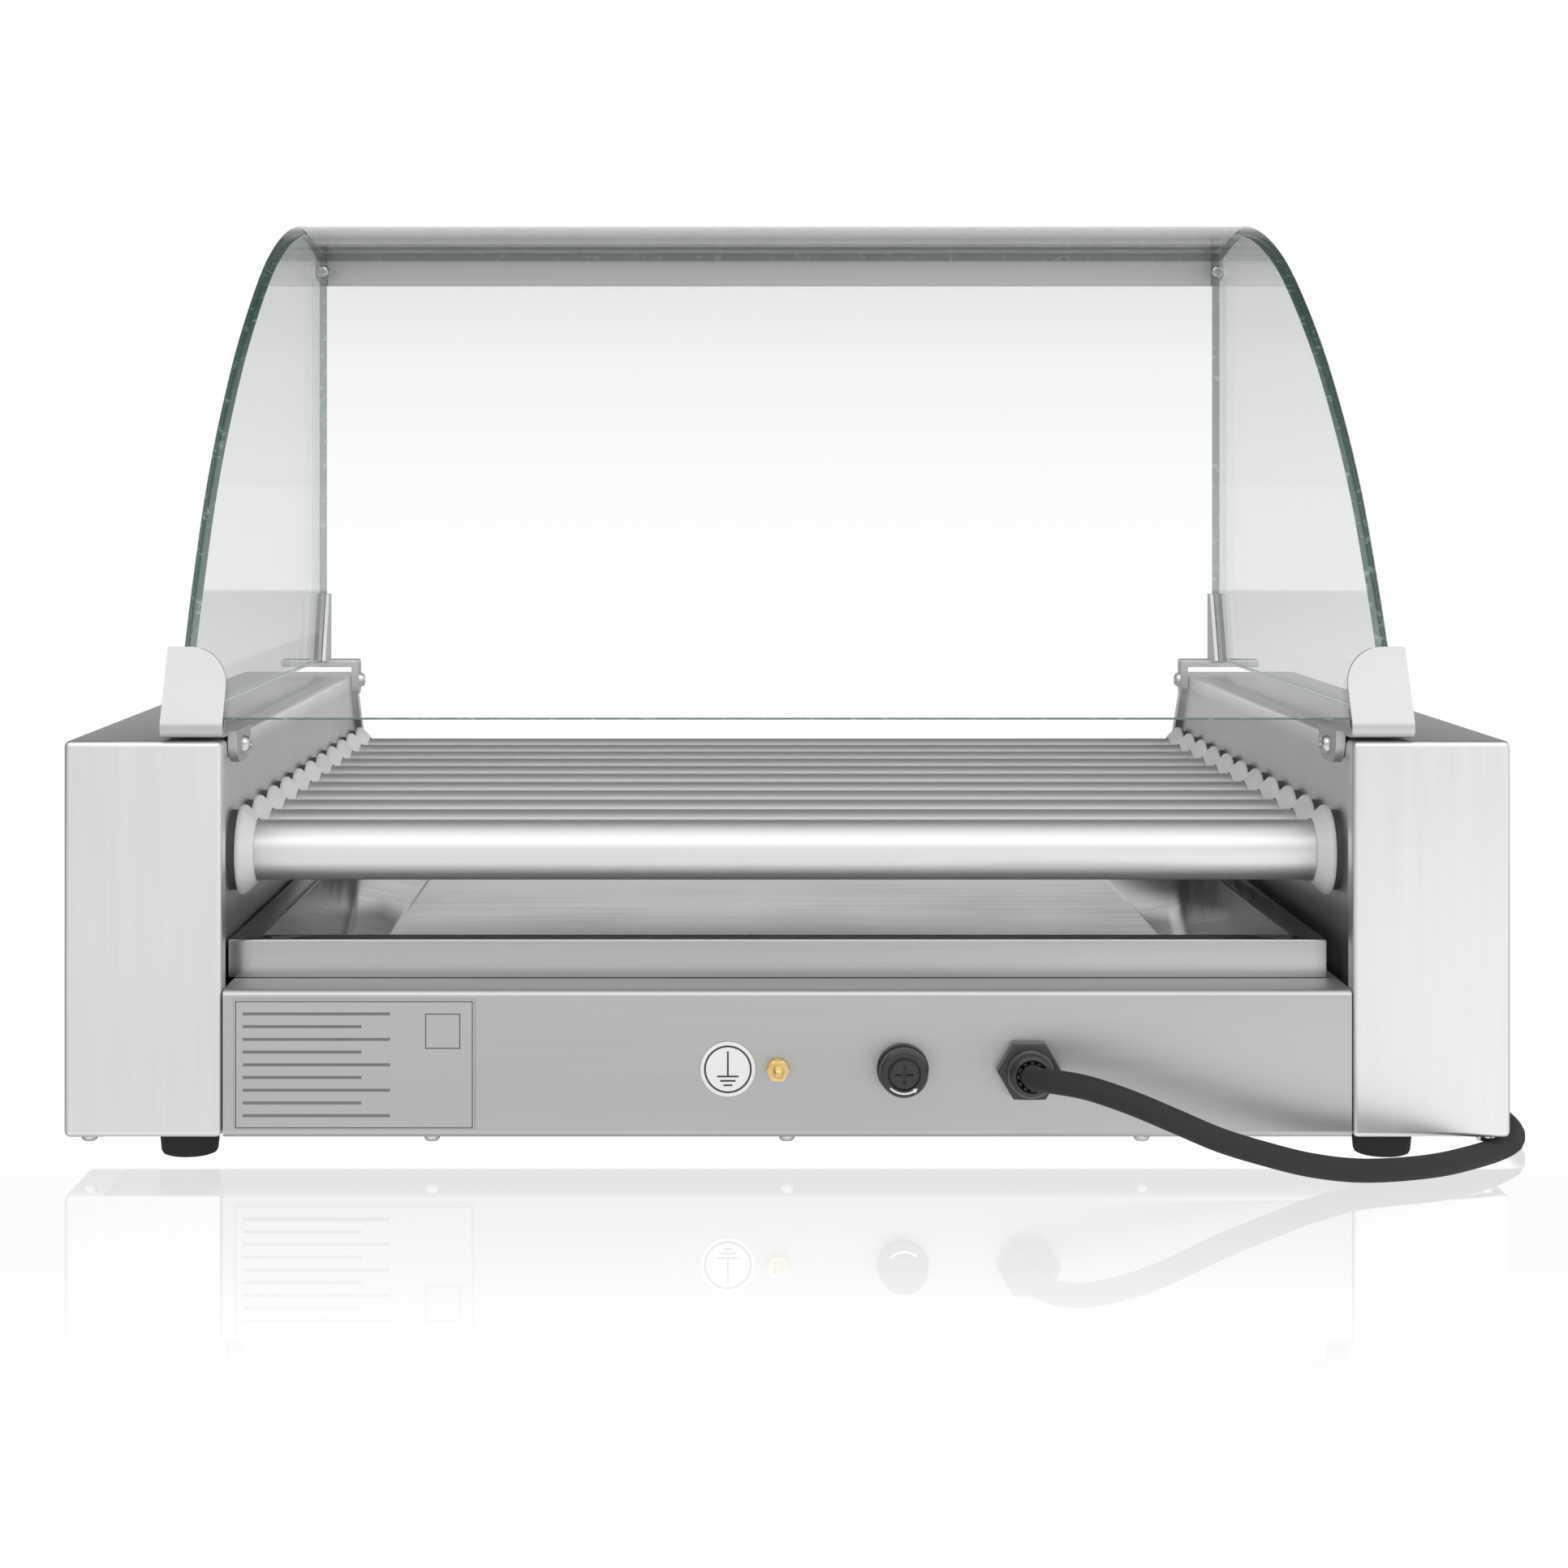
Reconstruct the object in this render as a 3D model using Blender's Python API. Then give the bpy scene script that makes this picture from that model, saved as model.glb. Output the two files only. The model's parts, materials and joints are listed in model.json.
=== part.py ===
"""Counter roller grill with a bent glass hood, as an assembly of separate parts.

Metres, +Z up. The cord side faces -Y and the operator's side faces +Y.
The origin is on the surface that the grill stands on, under the middle of its box.
"""
import math

import bmesh
import bpy
from mathutils import Matrix, Vector

# Body
body_width = 0.580
body_height = 0.159
foot_height = 0.0115
sheet = 0.0012
gap = 0.0003
return_flange = 0.008
bottom_flange = 0.016
slope_run = 0.059
slope_drop = 0.066
housing_width = 0.0635
side_plate_inset = 0.0045
base_height = 0.0593
base_flange = 0.012

# Feet
foot_diameter = 0.025
foot_taper = 0.0012
foot_from_end = 0.026
foot_from_side = 0.046

# Rollers, bushes and drive
roller_count = 11
roller_diameter = 0.025
roller_wall = 0.0016
roller_drop = 0.0495
first_roller = 0.048
last_roller = 0.058
bush_spacing = 0.0008
bush_flange_wall = 0.0061
bush_flange_thickness = 0.0022
bush_cone_length = 0.0050
bush_standoff = 0.0042
bush_collar_wall = 0.0042
bush_barrel_wall = 0.0025
bush_lip = 0.0009
bush_clearance = 0.00035
bush_strip_height = 0.018
bush_strip_thickness = 0.0025
barrel_clearance = 0.0003
tube_overhang = 0.015
sprocket_teeth = 10
sprocket_root_wall = 0.00075
sprocket_tooth = 0.0044
sprocket_thickness = 0.003
sprocket_plane = 0.0085
drive_teeth = 12
drive_tip_diameter = 0.041
drive_root_diameter = 0.032
chain_clearance = 0.0006
chain_height = 0.0045
chain_width = 0.0042
motor_shaft_diameter = 0.008
shaft_clearance = 0.0001
gearbox_size = (0.030, 0.060, 0.056)
gearbox_standoff = 0.0045
motor_can_diameter = 0.040
motor_can_length = 0.066
motor_can_clearance = 0.0021
heater_diameter = 0.007
heater_bar = (0.006, 0.012)
heater_end_gap = 0.012

# Drip tray
tray_left_overlap = 0.0021
tray_right_gap = 0.0046
tray_height = 0.0156
tray_rim = 0.0125
tray_slope = 0.045
tray_depth = 0.0095
tray_from_near = 0.028
tray_from_far = 0.004
tray_handle_height = 0.026
tray_notch_clearance = 0.0012

# Hood
glass_thickness = 0.004
hood_overlap = 0.0182
hood_rise = 0.0085
hood_curve = ((0.0190, 0.0400), (0.0415, 0.0720), (0.0665, 0.1025), (0.1005, 0.1340),
              (0.1465, 0.1680), (0.2070, 0.2020), (0.2540, 0.2205), (0.3030, 0.2325), (0.3450, 0.2360))
hood_start = 0.0010
hood_end = (0.4085, 0.2285)
hood_steps = 3
hood_back = 0.4083
rail_height = 0.0210
rail_rise = 0.2320
rail_lip = 0.012
rail_overhang = 0.0023
rail_corner = 0.005

# Hood brackets
bracket_thickness = 0.0018
bracket_width = 0.025
bracket_overhang = 0.0005
bracket_rise = 0.0370
bracket_foot_gap = 0.0013
bracket_foot_depth = 0.044
bracket_fin = 0.009
bracket_corner = 0.016
tab_thickness = 0.0037
tab_depth = 0.034
tab_from_near = 0.012
tab_drop = 0.0105
far_bracket_place = 0.405
far_bar_width = 0.042
far_bar_depth = 0.012
far_bar_thickness = 0.004
far_bar_rise = 0.0042
far_fin_rise = 0.0435
far_cheek_base = 0.022
far_cheek_top = 0.006
far_tab_drop = 0.0105

# Cord side fittings
fitting_below_middle = 0.00195
plate_from_end = 0.0048
plate_width = 0.0965
plate_above_floor = 0.0034
plate_below_shelf = 0.0036
plate_thickness = 0.0006
label_place = -0.0238
label_diameter = 0.022
label_thickness = 0.0004
stud_place = -0.0038
stud_diameter = 0.004
stud_reach = 0.0105
nut_across_flats = 0.008
nut_thickness = 0.0035
fuse_place = 0.0462
fuse_flange_diameter = 0.0208
fuse_flange_thickness = 0.0015
fuse_barrel_diameter = 0.0125
fuse_barrel_length = 0.024
fuse_bore_diameter = 0.0090
fuse_cap_diameter = 0.0194
fuse_cap_height = 0.0090
fuse_stem_length = 0.012
gland_place = 0.0965
gland_across_flats = 0.0223
gland_hex_thickness = 0.006
gland_dome_diameter = 0.0190
gland_shoulder_diameter = 0.0163
gland_mouth_diameter = 0.0137
gland_reach = 0.016
gland_barrel_diameter = 0.0125
gland_barrel_length = 0.010

# Operator side fittings
knob_diameter = 0.036
knob_reach = 0.020
knob_skirt = 0.003
knob_grip_diameter = 0.026
knob_standoff = 0.0006
knob_shaft_diameter = 0.006
knob_shaft_length = 0.014
control_below_middle = 0.00015
knob_places = (-0.060, 0.060)
switch_places = (-0.130, 0.130)
switch_bezel = (0.031, 0.025, 0.002)
switch_body = (0.028, 0.022, 0.022)
switch_wall = 0.0025
rocker_tilt = math.radians(8)
rocker_clearance = 0.0004
rocker_end_clearance = 0.0016
rocker_pin_depth = 0.004
rocker_crest = 0.005
rocker_hollow = 0.0034
rocker_edge = 0.001
rocker_root = 0.004
lamp_places = (-0.095, 0.095)
lamp_diameter = 0.009
lamp_reach = 0.004
lamp_tip_diameter = 0.0054
lamp_length = 0.014
thermostat_size = (0.034, 0.026, 0.038)
thermostat_standoff = 0.003

# Cord: its route is a hand-laid list, from the gland to the coil
cord_diameter = 0.0094
cord_route = ((0.0965, -0.0165, 0.0396), (0.0975, -0.0260, 0.0402), (0.1040, -0.0340, 0.0410),
              (0.1160, -0.0400, 0.0398), (0.1320, -0.0440, 0.0350), (0.1490, -0.0450, 0.0280),
              (0.1660, -0.0430, 0.0205), (0.1850, -0.0390, 0.0140), (0.2020, -0.0345, 0.0090),
              (0.2200, -0.0290, 0.0056), (0.2370, -0.0245, 0.0047), (0.2560, -0.0170, 0.0047),
              (0.2730, -0.0040, 0.0047), (0.2880, 0.0110, 0.0047), (0.2985, 0.0280, 0.0047),
              (0.3035, 0.0560, 0.0047), (0.3035, 0.1200, 0.0047), (0.3025, 0.2000, 0.0047),
              (0.3012, 0.2900, 0.0047), (0.3002, 0.3600, 0.0047), (0.2998, 0.4060, 0.0047),
              (0.2998, 0.4285, 0.0047))
cord_steps = 2
coil_centre = (0.3540, 0.4620)
coil_mean_diameter = 0.0990
coil_layers = 2
plug_length = 0.040
plug_width = 0.026
plug_height = 0.022
plug_nose = 0.010
blade = (0.0016, 0.0160, 0.0063)
blade_spacing = 0.0127
ground_pin_diameter = 0.0048
ground_pin_length = 0.019
ground_pin_drop = 0.0119

# Round pieces
fine = 24
coarse = 16
bush_segments = 12

# Sizes and places that follow
bush_flange_diameter = roller_diameter + 2 * bush_flange_wall
bush_barrel_diameter = roller_diameter + 2 * bush_barrel_wall
sprocket_root_diameter = roller_diameter + 2 * sprocket_root_wall
sprocket_tip_diameter = sprocket_root_diameter + 2 * sprocket_tooth
roller_pitch = bush_flange_diameter + bush_spacing
body_depth = first_roller + roller_pitch * (roller_count - 1) + last_roller
overall_depth = gland_reach + body_depth + knob_reach
near = gland_reach - overall_depth / 2
far = near + body_depth
floor = foot_height
top = floor + body_height
shelf = floor + base_height
middle_height = (floor + shelf) / 2
roller_height = top - roller_drop
half_width = body_width / 2
mouth = half_width - housing_width
tray_left = -mouth - tray_left_overlap
tray_right = mouth - tray_right_gap
hood_width = 2 * (mouth + hood_overlap)
hood_bottom = top + hood_rise
rail_top = top + rail_rise
bracket_inner = mouth - bracket_overhang
bracket_top = top + bracket_rise
tab_bottom = top - tab_drop
far_bar_bottom = top + far_bar_rise
far_fin_top = top + far_fin_rise
far_tab_bottom = top - far_tab_drop
plate_left = -mouth + plate_from_end
fitting_height = middle_height - fitting_below_middle
control_height = middle_height - control_below_middle
wall = mouth + side_plate_inset
tube_half = wall + tube_overhang
sprocket_x = wall + sprocket_plane
roller_ys = tuple(near + first_roller + roller_pitch * i for i in range(roller_count))
chain_inside = sprocket_tip_diameter / 2 + chain_clearance
chain_outside = chain_inside + chain_height
drive_z = roller_height - chain_outside - chain_clearance - drive_tip_diameter / 2
drive_y = (roller_ys[0] + roller_ys[-1]) / 2
gearbox_x = sprocket_x + sprocket_thickness / 2 + gearbox_standoff

finishes = {
    "stainless": ((0.62, 0.62, 0.63), 0.28, 1.0),
    "bright_stainless": ((0.75, 0.75, 0.76), 0.16, 1.0),
    "grey_sheet": ((0.60, 0.60, 0.60), 0.42, 0.6),
    "zinc": ((0.50, 0.50, 0.48), 0.40, 1.0),
    "brass": ((0.78, 0.56, 0.22), 0.25, 1.0),
    "white_plastic": ((0.86, 0.86, 0.84), 0.40, 0.0),
    "black_plastic": ((0.025, 0.025, 0.025), 0.32, 0.0),
    "rubber": ((0.02, 0.02, 0.02), 0.65, 0.0),
    "glass": ((0.80, 0.88, 0.85), 0.02, 0.0),
    "label": ((0.70, 0.70, 0.70), 0.35, 0.3),
    "white_label": ((0.88, 0.88, 0.88), 0.45, 0.0),
    "red_lens": ((0.75, 0.06, 0.04), 0.20, 0.0),
}


def clear_scene():
    """Removes every object of the open file."""
    for old in list(bpy.data.objects):
        bpy.data.objects.remove(old, do_unlink=True)


def finish_material(name, finish):
    """A Principled material for one piece."""
    colour, roughness, metallic = finishes[finish]
    material = bpy.data.materials.new(name)
    material.use_nodes = True
    shader = material.node_tree.nodes["Principled BSDF"]
    shader.inputs["Base Color"].default_value = (*colour, 1.0)
    shader.inputs["Roughness"].default_value = roughness
    shader.inputs["Metallic"].default_value = metallic
    return material


def place(name, bm, finish=None, origin=(0.0, 0.0, 0.0)):
    """Makes a piece of the mesh, with its origin at the given place."""
    bmesh.ops.recalc_face_normals(bm, faces=bm.faces)
    bmesh.ops.translate(bm, verts=bm.verts, vec=-Vector(origin))
    mesh = bpy.data.meshes.new(name)
    bm.to_mesh(mesh)
    bm.free()
    mesh.shade_smooth()
    mesh.set_sharp_from_angle(angle=math.radians(32))
    piece = bpy.data.objects.new(name, mesh)
    piece.location = origin
    bpy.context.scene.collection.objects.link(piece)
    if finish:
        mesh.materials.append(finish_material(name, finish))
    return piece


def helper(name, bm):
    """A cutter, or a shape to be joined on: it is never shown by itself."""
    piece = place(name, bm)
    piece.hide_render = True
    piece.display_type = "WIRE"
    return piece


def combine(piece, other, operation):
    """Adds a Boolean modifier to the piece."""
    modifier = piece.modifiers.new(other.name, "BOOLEAN")
    modifier.operation = operation
    modifier.object = other
    modifier.solver = "EXACT"


def cut(piece, name, bm):
    """Takes the shape out of the piece."""
    combine(piece, helper(f"{piece.name}_{name}", bm), "DIFFERENCE")


def join(piece, name, bm):
    """Adds the shape to the piece."""
    combine(piece, helper(f"{piece.name}_{name}", bm), "UNION")


def add_box(bm, low, high):
    """Adds a block between two corners."""
    made = bmesh.ops.create_cube(bm, size=1.0)["verts"]
    low = Vector(low)
    high = Vector(high)
    bmesh.ops.scale(bm, verts=made, vec=high - low)
    bmesh.ops.translate(bm, verts=made, vec=(low + high) / 2)
    return made


def box(low, high):
    """A block between two corners."""
    bm = bmesh.new()
    add_box(bm, low, high)
    return bm


def on_axis(axis, along, first, second):
    """A point from its place along an axis and its two other coordinates, in X, Y, Z order."""
    return {"x": (along, first, second), "y": (first, along, second), "z": (first, second, along)}[axis]


def add_prism(bm, outline, axis, start, end):
    """Adds the outline, swept straight along an axis."""
    rings = [[bm.verts.new(on_axis(axis, at, a, b)) for a, b in outline] for at in (start, end)]
    count = len(outline)
    for i in range(count):
        j = (i + 1) % count
        bm.faces.new((rings[0][i], rings[0][j], rings[1][j], rings[1][i]))
    bm.faces.new(rings[0])
    bm.faces.new(rings[1])
    return rings[0] + rings[1]


def prism(outline, axis, start, end):
    """The outline, swept straight along an axis."""
    bm = bmesh.new()
    add_prism(bm, outline, axis, start, end)
    return bm


def ring_points(axis, along, radii, centre, turn=0.0):
    """Points round a centre: a number of radii that repeat, as for teeth."""
    count = len(radii)
    points = []
    for i, radius in enumerate(radii):
        angle = 2 * math.pi * i / count + turn
        first = centre[0] + radius * math.cos(angle)
        second = centre[1] + radius * math.sin(angle)
        points.append(on_axis(axis, along, first, second))
    return points


def add_rings(bm, rings, closed):
    """Joins rings of equal length into a skin. Closed joins the last to the first, else both are capped."""
    made = [[bm.verts.new(point) for point in ring] for ring in rings]
    count = len(made[0])
    pairs = list(zip(made, made[1:]))
    if closed:
        pairs.append((made[-1], made[0]))
    for one, other in pairs:
        for i in range(count):
            j = (i + 1) % count
            bm.faces.new((one[i], one[j], other[j], other[i]))
    if not closed:
        bm.faces.new(made[0])
        bm.faces.new(made[-1])


def add_turned(bm, profile, axis, centre, segments, closed=False):
    """Adds a turned shape. The profile is (place along the axis, radius); closed leaves a bore."""
    rings = [ring_points(axis, along, [radius] * segments, centre) for along, radius in profile]
    add_rings(bm, rings, closed)


def turned(profile, axis, centre, segments=fine, closed=False):
    """A turned shape about an axis."""
    bm = bmesh.new()
    add_turned(bm, profile, axis, centre, segments, closed)
    return bm


def cylinder(axis, centre, diameter, start, end, segments=fine):
    """A round bar along an axis."""
    return turned(((start, diameter / 2), (end, diameter / 2)), axis, centre, segments)


def mirrored(outline, side):
    """An (x, ...) outline on the left (-1) or the right (1)."""
    return [(side * x, other) for x, other in outline]


def span(side, inner, outer):
    """The low and high x of a stretch on one side."""
    return tuple(sorted((side * inner, side * outer)))


def body_outline(inset, bottom):
    """The housing's side view, drawn in by an inset, as (y, z) points."""
    steep = math.atan2(slope_drop, slope_run)
    shift = inset * math.tan(steep / 2)
    turn = inset * math.tan((math.pi / 2 - steep) / 2)
    return ((near + inset, bottom), (near + inset, top - inset),
            (far - slope_run - shift, top - inset),
            (far - inset, top - slope_drop - turn), (far - inset, bottom))


def make_base():
    """The pan, and the folded cover with the cord's panel, the shelf and the operator's panel."""
    inset = sheet + gap
    pan_low = (-half_width + inset, near + inset, floor + inset)
    pan_high = (half_width - inset, far - inset, floor + inset + sheet)
    place("base_pan", box(pan_low, pan_high), "zinc")
    outline = ((near, floor), (near, shelf), (far, shelf), (far, floor),
               (far - base_flange, floor), (far - base_flange, floor + sheet),
               (far - sheet, floor + sheet), (far - sheet, shelf - sheet),
               (near + sheet, shelf - sheet), (near + sheet, floor + sheet),
               (near + base_flange, floor + sheet), (near + base_flange, floor))
    edge = mouth - gap
    cover = place("base_cover", prism(outline, "x", -edge, edge), "stainless")
    holes = bmesh.new()
    for x, size in ((stud_place, stud_diameter), (fuse_place, fuse_barrel_diameter),
                    (gland_place, gland_barrel_diameter)):
        add_turned(holes, ((near - sheet, size / 2 + gap), (near + 2 * sheet, size / 2 + gap)),
                   "y", (x, fitting_height), coarse)
    for x in knob_places:
        radius = knob_shaft_diameter / 2 + gap
        add_turned(holes, ((far - 2 * sheet, radius), (far + sheet, radius)), "y", (x, control_height),
                   coarse)
    for x in lamp_places:
        radius = lamp_diameter / 2 + gap
        add_turned(holes, ((far - 2 * sheet, radius), (far + sheet, radius)), "y", (x, control_height),
                   coarse)
    width, height, _ = switch_body
    for x in switch_places:
        add_box(holes, (x - width / 2 - gap, far - 2 * sheet, control_height - height / 2 - gap),
                (x + width / 2 + gap, far + sheet, control_height + height / 2 + gap))
    cut(cover, "holes", holes)


def make_feet():
    """Four tapered rubber feet."""
    radius = foot_diameter / 2
    for end, y in (("near", near + foot_from_end), ("far", far - foot_from_end)):
        for side, label in ((-1, "left"), (1, "right")):
            profile = ((0.0, radius - foot_taper), (floor + sheet, radius))
            bm = turned(profile, "z", (side * (half_width - foot_from_side), y))
            place(f"foot_{end}_{label}", bm, "rubber")


def make_side_plate(side, label):
    """The inner wall that carries one end of every roller."""
    inset = sheet + gap
    bottom = floor + 2 * inset
    low, high = span(side, wall, wall + sheet)
    plate = place(f"{label}_side_plate", prism(body_outline(inset, bottom), "x", low, high), "stainless")
    flange_low, flange_high = span(side, wall + sheet / 2, wall + base_flange)
    join(plate, "flange", box((flange_low, near + base_flange, bottom),
                              (flange_high, far - base_flange, bottom + sheet)))
    holes = bmesh.new()
    radius = bush_barrel_diameter / 2 + barrel_clearance
    for y in roller_ys:
        add_turned(holes, ((low - sheet, radius), (high + sheet, radius)), "x", (y, roller_height),
                   bush_segments)
    cut(plate, "holes", holes)


def make_end_cover(side, label):
    """The folded cover of one housing, open towards its side plate and underneath."""
    low, high = span(side, mouth, half_width)
    cover = place(f"{label}_end_cover", prism(body_outline(0.0, floor), "x", low, high), "stainless")
    low, high = span(side, mouth + sheet, half_width - sheet)
    cut(cover, "inside", prism(body_outline(sheet, floor + sheet), "x", low, high))
    low, high = span(side, mouth - sheet, mouth + 2 * sheet)
    cut(cover, "opening", prism(body_outline(return_flange, floor - sheet), "x", low, high))
    low, high = span(side, mouth - sheet, half_width - bottom_flange)
    above_pan = floor + 2 * (sheet + gap)
    cut(cover, "underside", box((low, near + sheet, floor - sheet), (high, far - sheet, above_pan)))
    low, high = span(side, mouth - sheet, tray_reach() + tray_notch_clearance)
    cut(cover, "tray_notch", box((low, far - 2 * return_flange, shelf - gap),
                                 (high, far + sheet, shelf + tray_handle_height + tray_notch_clearance)))


def tray_reach():
    """How far the tray's wider side is from the middle."""
    return -tray_left


def make_bushes(side, label):
    """The eleven bushes of a side and the strip behind the side plate that holds them."""
    flange_back = wall - bush_standoff
    rim = flange_back - bush_flange_thickness
    tip = rim - bush_cone_length
    bore = (roller_diameter / 2 + bush_clearance) / math.cos(math.pi / bush_segments)
    strip_start = wall + sheet + gap
    strip_end = strip_start + bush_strip_thickness
    barrel = bush_barrel_diameter / 2
    collar = roller_diameter / 2 + bush_collar_wall
    flange = bush_flange_diameter / 2
    seat = wall - gap
    profile = ((side * tip, bore + bush_lip), (side * rim, flange), (side * flange_back, flange),
               (side * flange_back, collar), (side * seat, collar),
               (side * seat, barrel), (side * (strip_end + sheet), barrel))
    bm = bmesh.new()
    for y in roller_ys:
        add_turned(bm, profile, "x", (y, roller_height), bush_segments)
    bushes = place(f"{label}_bushes", bm, "white_plastic")
    low, high = span(side, strip_start, strip_end)
    half = bush_strip_height / 2
    join(bushes, "strip", box((low, roller_ys[0] - half, roller_height - half),
                              (high, roller_ys[-1] + half, roller_height + half)))
    bores = bmesh.new()
    low, high = span(side, tip - sheet, strip_end + 2 * sheet)
    for y in roller_ys:
        add_turned(bores, ((low, bore), (high, bore)), "x", (y, roller_height), bush_segments)
    cut(bushes, "bores", bores)


def add_sprocket_tube(bm, tube, teeth, plane, centre, start, end, bore):
    """Adds a tube with a toothed wheel on it. tube and bore are radii, teeth is (count, root, tip)."""
    count, root, tip = teeth
    steps = 2 * count
    toothed = [tip if i % 2 else root for i in range(steps)]
    plain = [tube] * steps
    faces = (plane - sprocket_thickness / 2, plane + sprocket_thickness / 2)
    rings = [(start, plain), (faces[0], plain), (faces[0], toothed), (faces[1], toothed),
             (faces[1], plain), (end, plain)]
    if bore:
        rings += [(end, [bore] * steps), (start, [bore] * steps)]
    add_rings(bm, [ring_points("x", at, radii, centre) for at, radii in rings], bool(bore))


def make_rollers():
    """The eleven heated tubes, each with its sprocket at the right-hand end."""
    teeth = (sprocket_teeth, sprocket_root_diameter / 2, sprocket_tip_diameter / 2)
    radius = roller_diameter / 2
    for number, y in enumerate(roller_ys, 1):
        bm = bmesh.new()
        add_sprocket_tube(bm, radius, teeth, sprocket_x, (y, roller_height), -tube_half, tube_half,
                          radius - roller_wall)
        place(f"roller_{number:02d}", bm, "bright_stainless", (0.0, y, roller_height))


def make_heaters():
    """The still heating rods inside the rollers, with the terminal bar that holds their left ends."""
    thickness, height = heater_bar
    bar_x = -tube_half - heater_end_gap
    bm = box((bar_x - thickness, roller_ys[0] - height, roller_height - height / 2),
             (bar_x, roller_ys[-1] + height, roller_height + height / 2))
    heaters = place("heater_bank", bm, "zinc")
    rods = bmesh.new()
    radius = heater_diameter / 2
    for y in roller_ys:
        add_turned(rods, ((bar_x - thickness / 2, radius), (wall, radius)), "x", (y, roller_height), 8)
    join(heaters, "rods", rods)


def capsule(first, last, centre_z, radius, steps):
    """A round-ended outline as (y, z) points."""
    points = []
    for middle, start in ((last, -math.pi / 2), (first, math.pi / 2)):
        for i in range(steps + 1):
            angle = start + math.pi * i / steps
            points.append((middle + radius * math.cos(angle), centre_z + radius * math.sin(angle)))
    return points


def make_chain():
    """The chain as one still loop round all the sprockets."""
    outer = capsule(roller_ys[0], roller_ys[-1], roller_height, chain_outside, 10)
    inner = capsule(roller_ys[0], roller_ys[-1], roller_height, chain_inside, 10)
    low = sprocket_x - chain_width / 2
    high = sprocket_x + chain_width / 2
    bm = bmesh.new()
    rings = [[(low, y, z) for y, z in outer], [(high, y, z) for y, z in outer],
             [(high, y, z) for y, z in inner], [(low, y, z) for y, z in inner]]
    add_rings(bm, rings, True)
    place("drive_chain", bm, "zinc")


def make_drive():
    """The gear motor, and the sprocket on its shaft."""
    width, depth, height = gearbox_size
    high_x = gearbox_x + width
    low_y = drive_y - depth / 2
    low = (gearbox_x, low_y, drive_z - height / 2)
    high = (high_x, low_y + depth, drive_z + height / 2)
    motor = place("gear_motor", box(low, high), "zinc")
    can_z = low[2] + motor_can_diameter / 2 + sheet
    can_x = half_width - sheet - motor_can_clearance - motor_can_diameter / 2
    start = high[1] - 2 * sheet
    join(motor, "can", cylinder("y", (can_x, can_z), motor_can_diameter, start, start + motor_can_length))
    shaft_bore = (motor_shaft_diameter / 2 + shaft_clearance) / math.cos(math.pi / coarse)
    depth_of_bore = width / 2
    cut(motor, "bore", cylinder("x", (drive_y, drive_z), 2 * shaft_bore, gearbox_x - sheet,
                                gearbox_x + depth_of_bore, coarse))
    teeth = (drive_teeth, drive_root_diameter / 2, drive_tip_diameter / 2)
    bm = bmesh.new()
    add_sprocket_tube(bm, motor_shaft_diameter / 2, teeth, sprocket_x, (drive_y, drive_z),
                      sprocket_x - sprocket_thickness, gearbox_x + depth_of_bore - sheet, 0.0)
    place("drive_sprocket", bm, "zinc", (0.0, drive_y, drive_z))


def rect_ring(x_low, x_high, y_low, y_high, z):
    """The corners of a level rectangle."""
    return ((x_low, y_low, z), (x_high, y_low, z), (x_high, y_high, z), (x_low, y_high, z))


def make_tray():
    """The drip tray: a skirt, a flat rim, sloping sides and a sunken floor, with a lip to pull it by."""
    low_y = near + tray_from_near
    high_y = far - tray_from_far
    bottom = shelf + gap
    rim = bottom + tray_height
    steps = ((0.0, bottom), (0.0, rim), (tray_rim, rim), (tray_rim + tray_slope, rim - tray_depth))
    upper = [rect_ring(tray_left + inset, tray_right - inset, low_y + inset, high_y - inset, z)
             for inset, z in steps]
    inward = (sheet, sheet, tray_rim, tray_rim + tray_slope)
    downward = (0.0, -sheet, -sheet, -sheet)
    under = [rect_ring(tray_left + inset, tray_right - inset, low_y + inset, high_y - inset, z + drop)
             for (_, z), inset, drop in zip(steps, inward, downward)]
    bm = bmesh.new()
    top_rings = [[bm.verts.new(point) for point in ring] for ring in upper]
    under_rings = [[bm.verts.new(point) for point in ring] for ring in under]
    for rings in (top_rings, under_rings):
        for one, other in zip(rings, rings[1:]):
            for i in range(4):
                j = (i + 1) % 4
                bm.faces.new((one[i], one[j], other[j], other[i]))
        bm.faces.new(rings[-1])
    for i in range(4):
        j = (i + 1) % 4
        bm.faces.new((top_rings[0][i], top_rings[0][j], under_rings[0][j], under_rings[0][i]))
    tray = place("drip_tray", bm, "stainless")
    handle = box((tray_left, high_y - sheet, rim - sheet / 2), (tray_right, high_y, shelf + tray_handle_height))
    join(tray, "handle", handle)


def catmull_rom(points, steps):
    """A smooth curve through the points, with steps pieces between each two."""
    ends = [points[0] * 2 - points[1], *points, points[-1] * 2 - points[-2]]
    curve = []
    for a, b, c, d in zip(ends, ends[1:], ends[2:], ends[3:]):
        for i in range(steps):
            t = i / steps
            curve.append(0.5 * (2 * b + (c - a) * t + (2 * a - 5 * b + 4 * c - d) * t * t
                                + (3 * b - a - 3 * c + d) * t ** 3))
    curve.append(points[-1])
    return curve


def hood_profile():
    """The outer line of the bent glass as (y, z), from its lower edge up and over."""
    through = [(hood_start, hood_rise), *hood_curve, hood_end]
    return catmull_rom([Vector((near + y, top + z)) for y, z in through], hood_steps)


def offset_line(line, distance):
    """The line, moved to the right-hand side of its own direction."""
    moved = []
    for i, point in enumerate(line):
        before = line[max(i - 1, 0)]
        after = line[min(i + 1, len(line) - 1)]
        run = (after - before).normalized()
        moved.append(point + Vector((run.y, -run.x)) * distance)
    return moved


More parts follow.
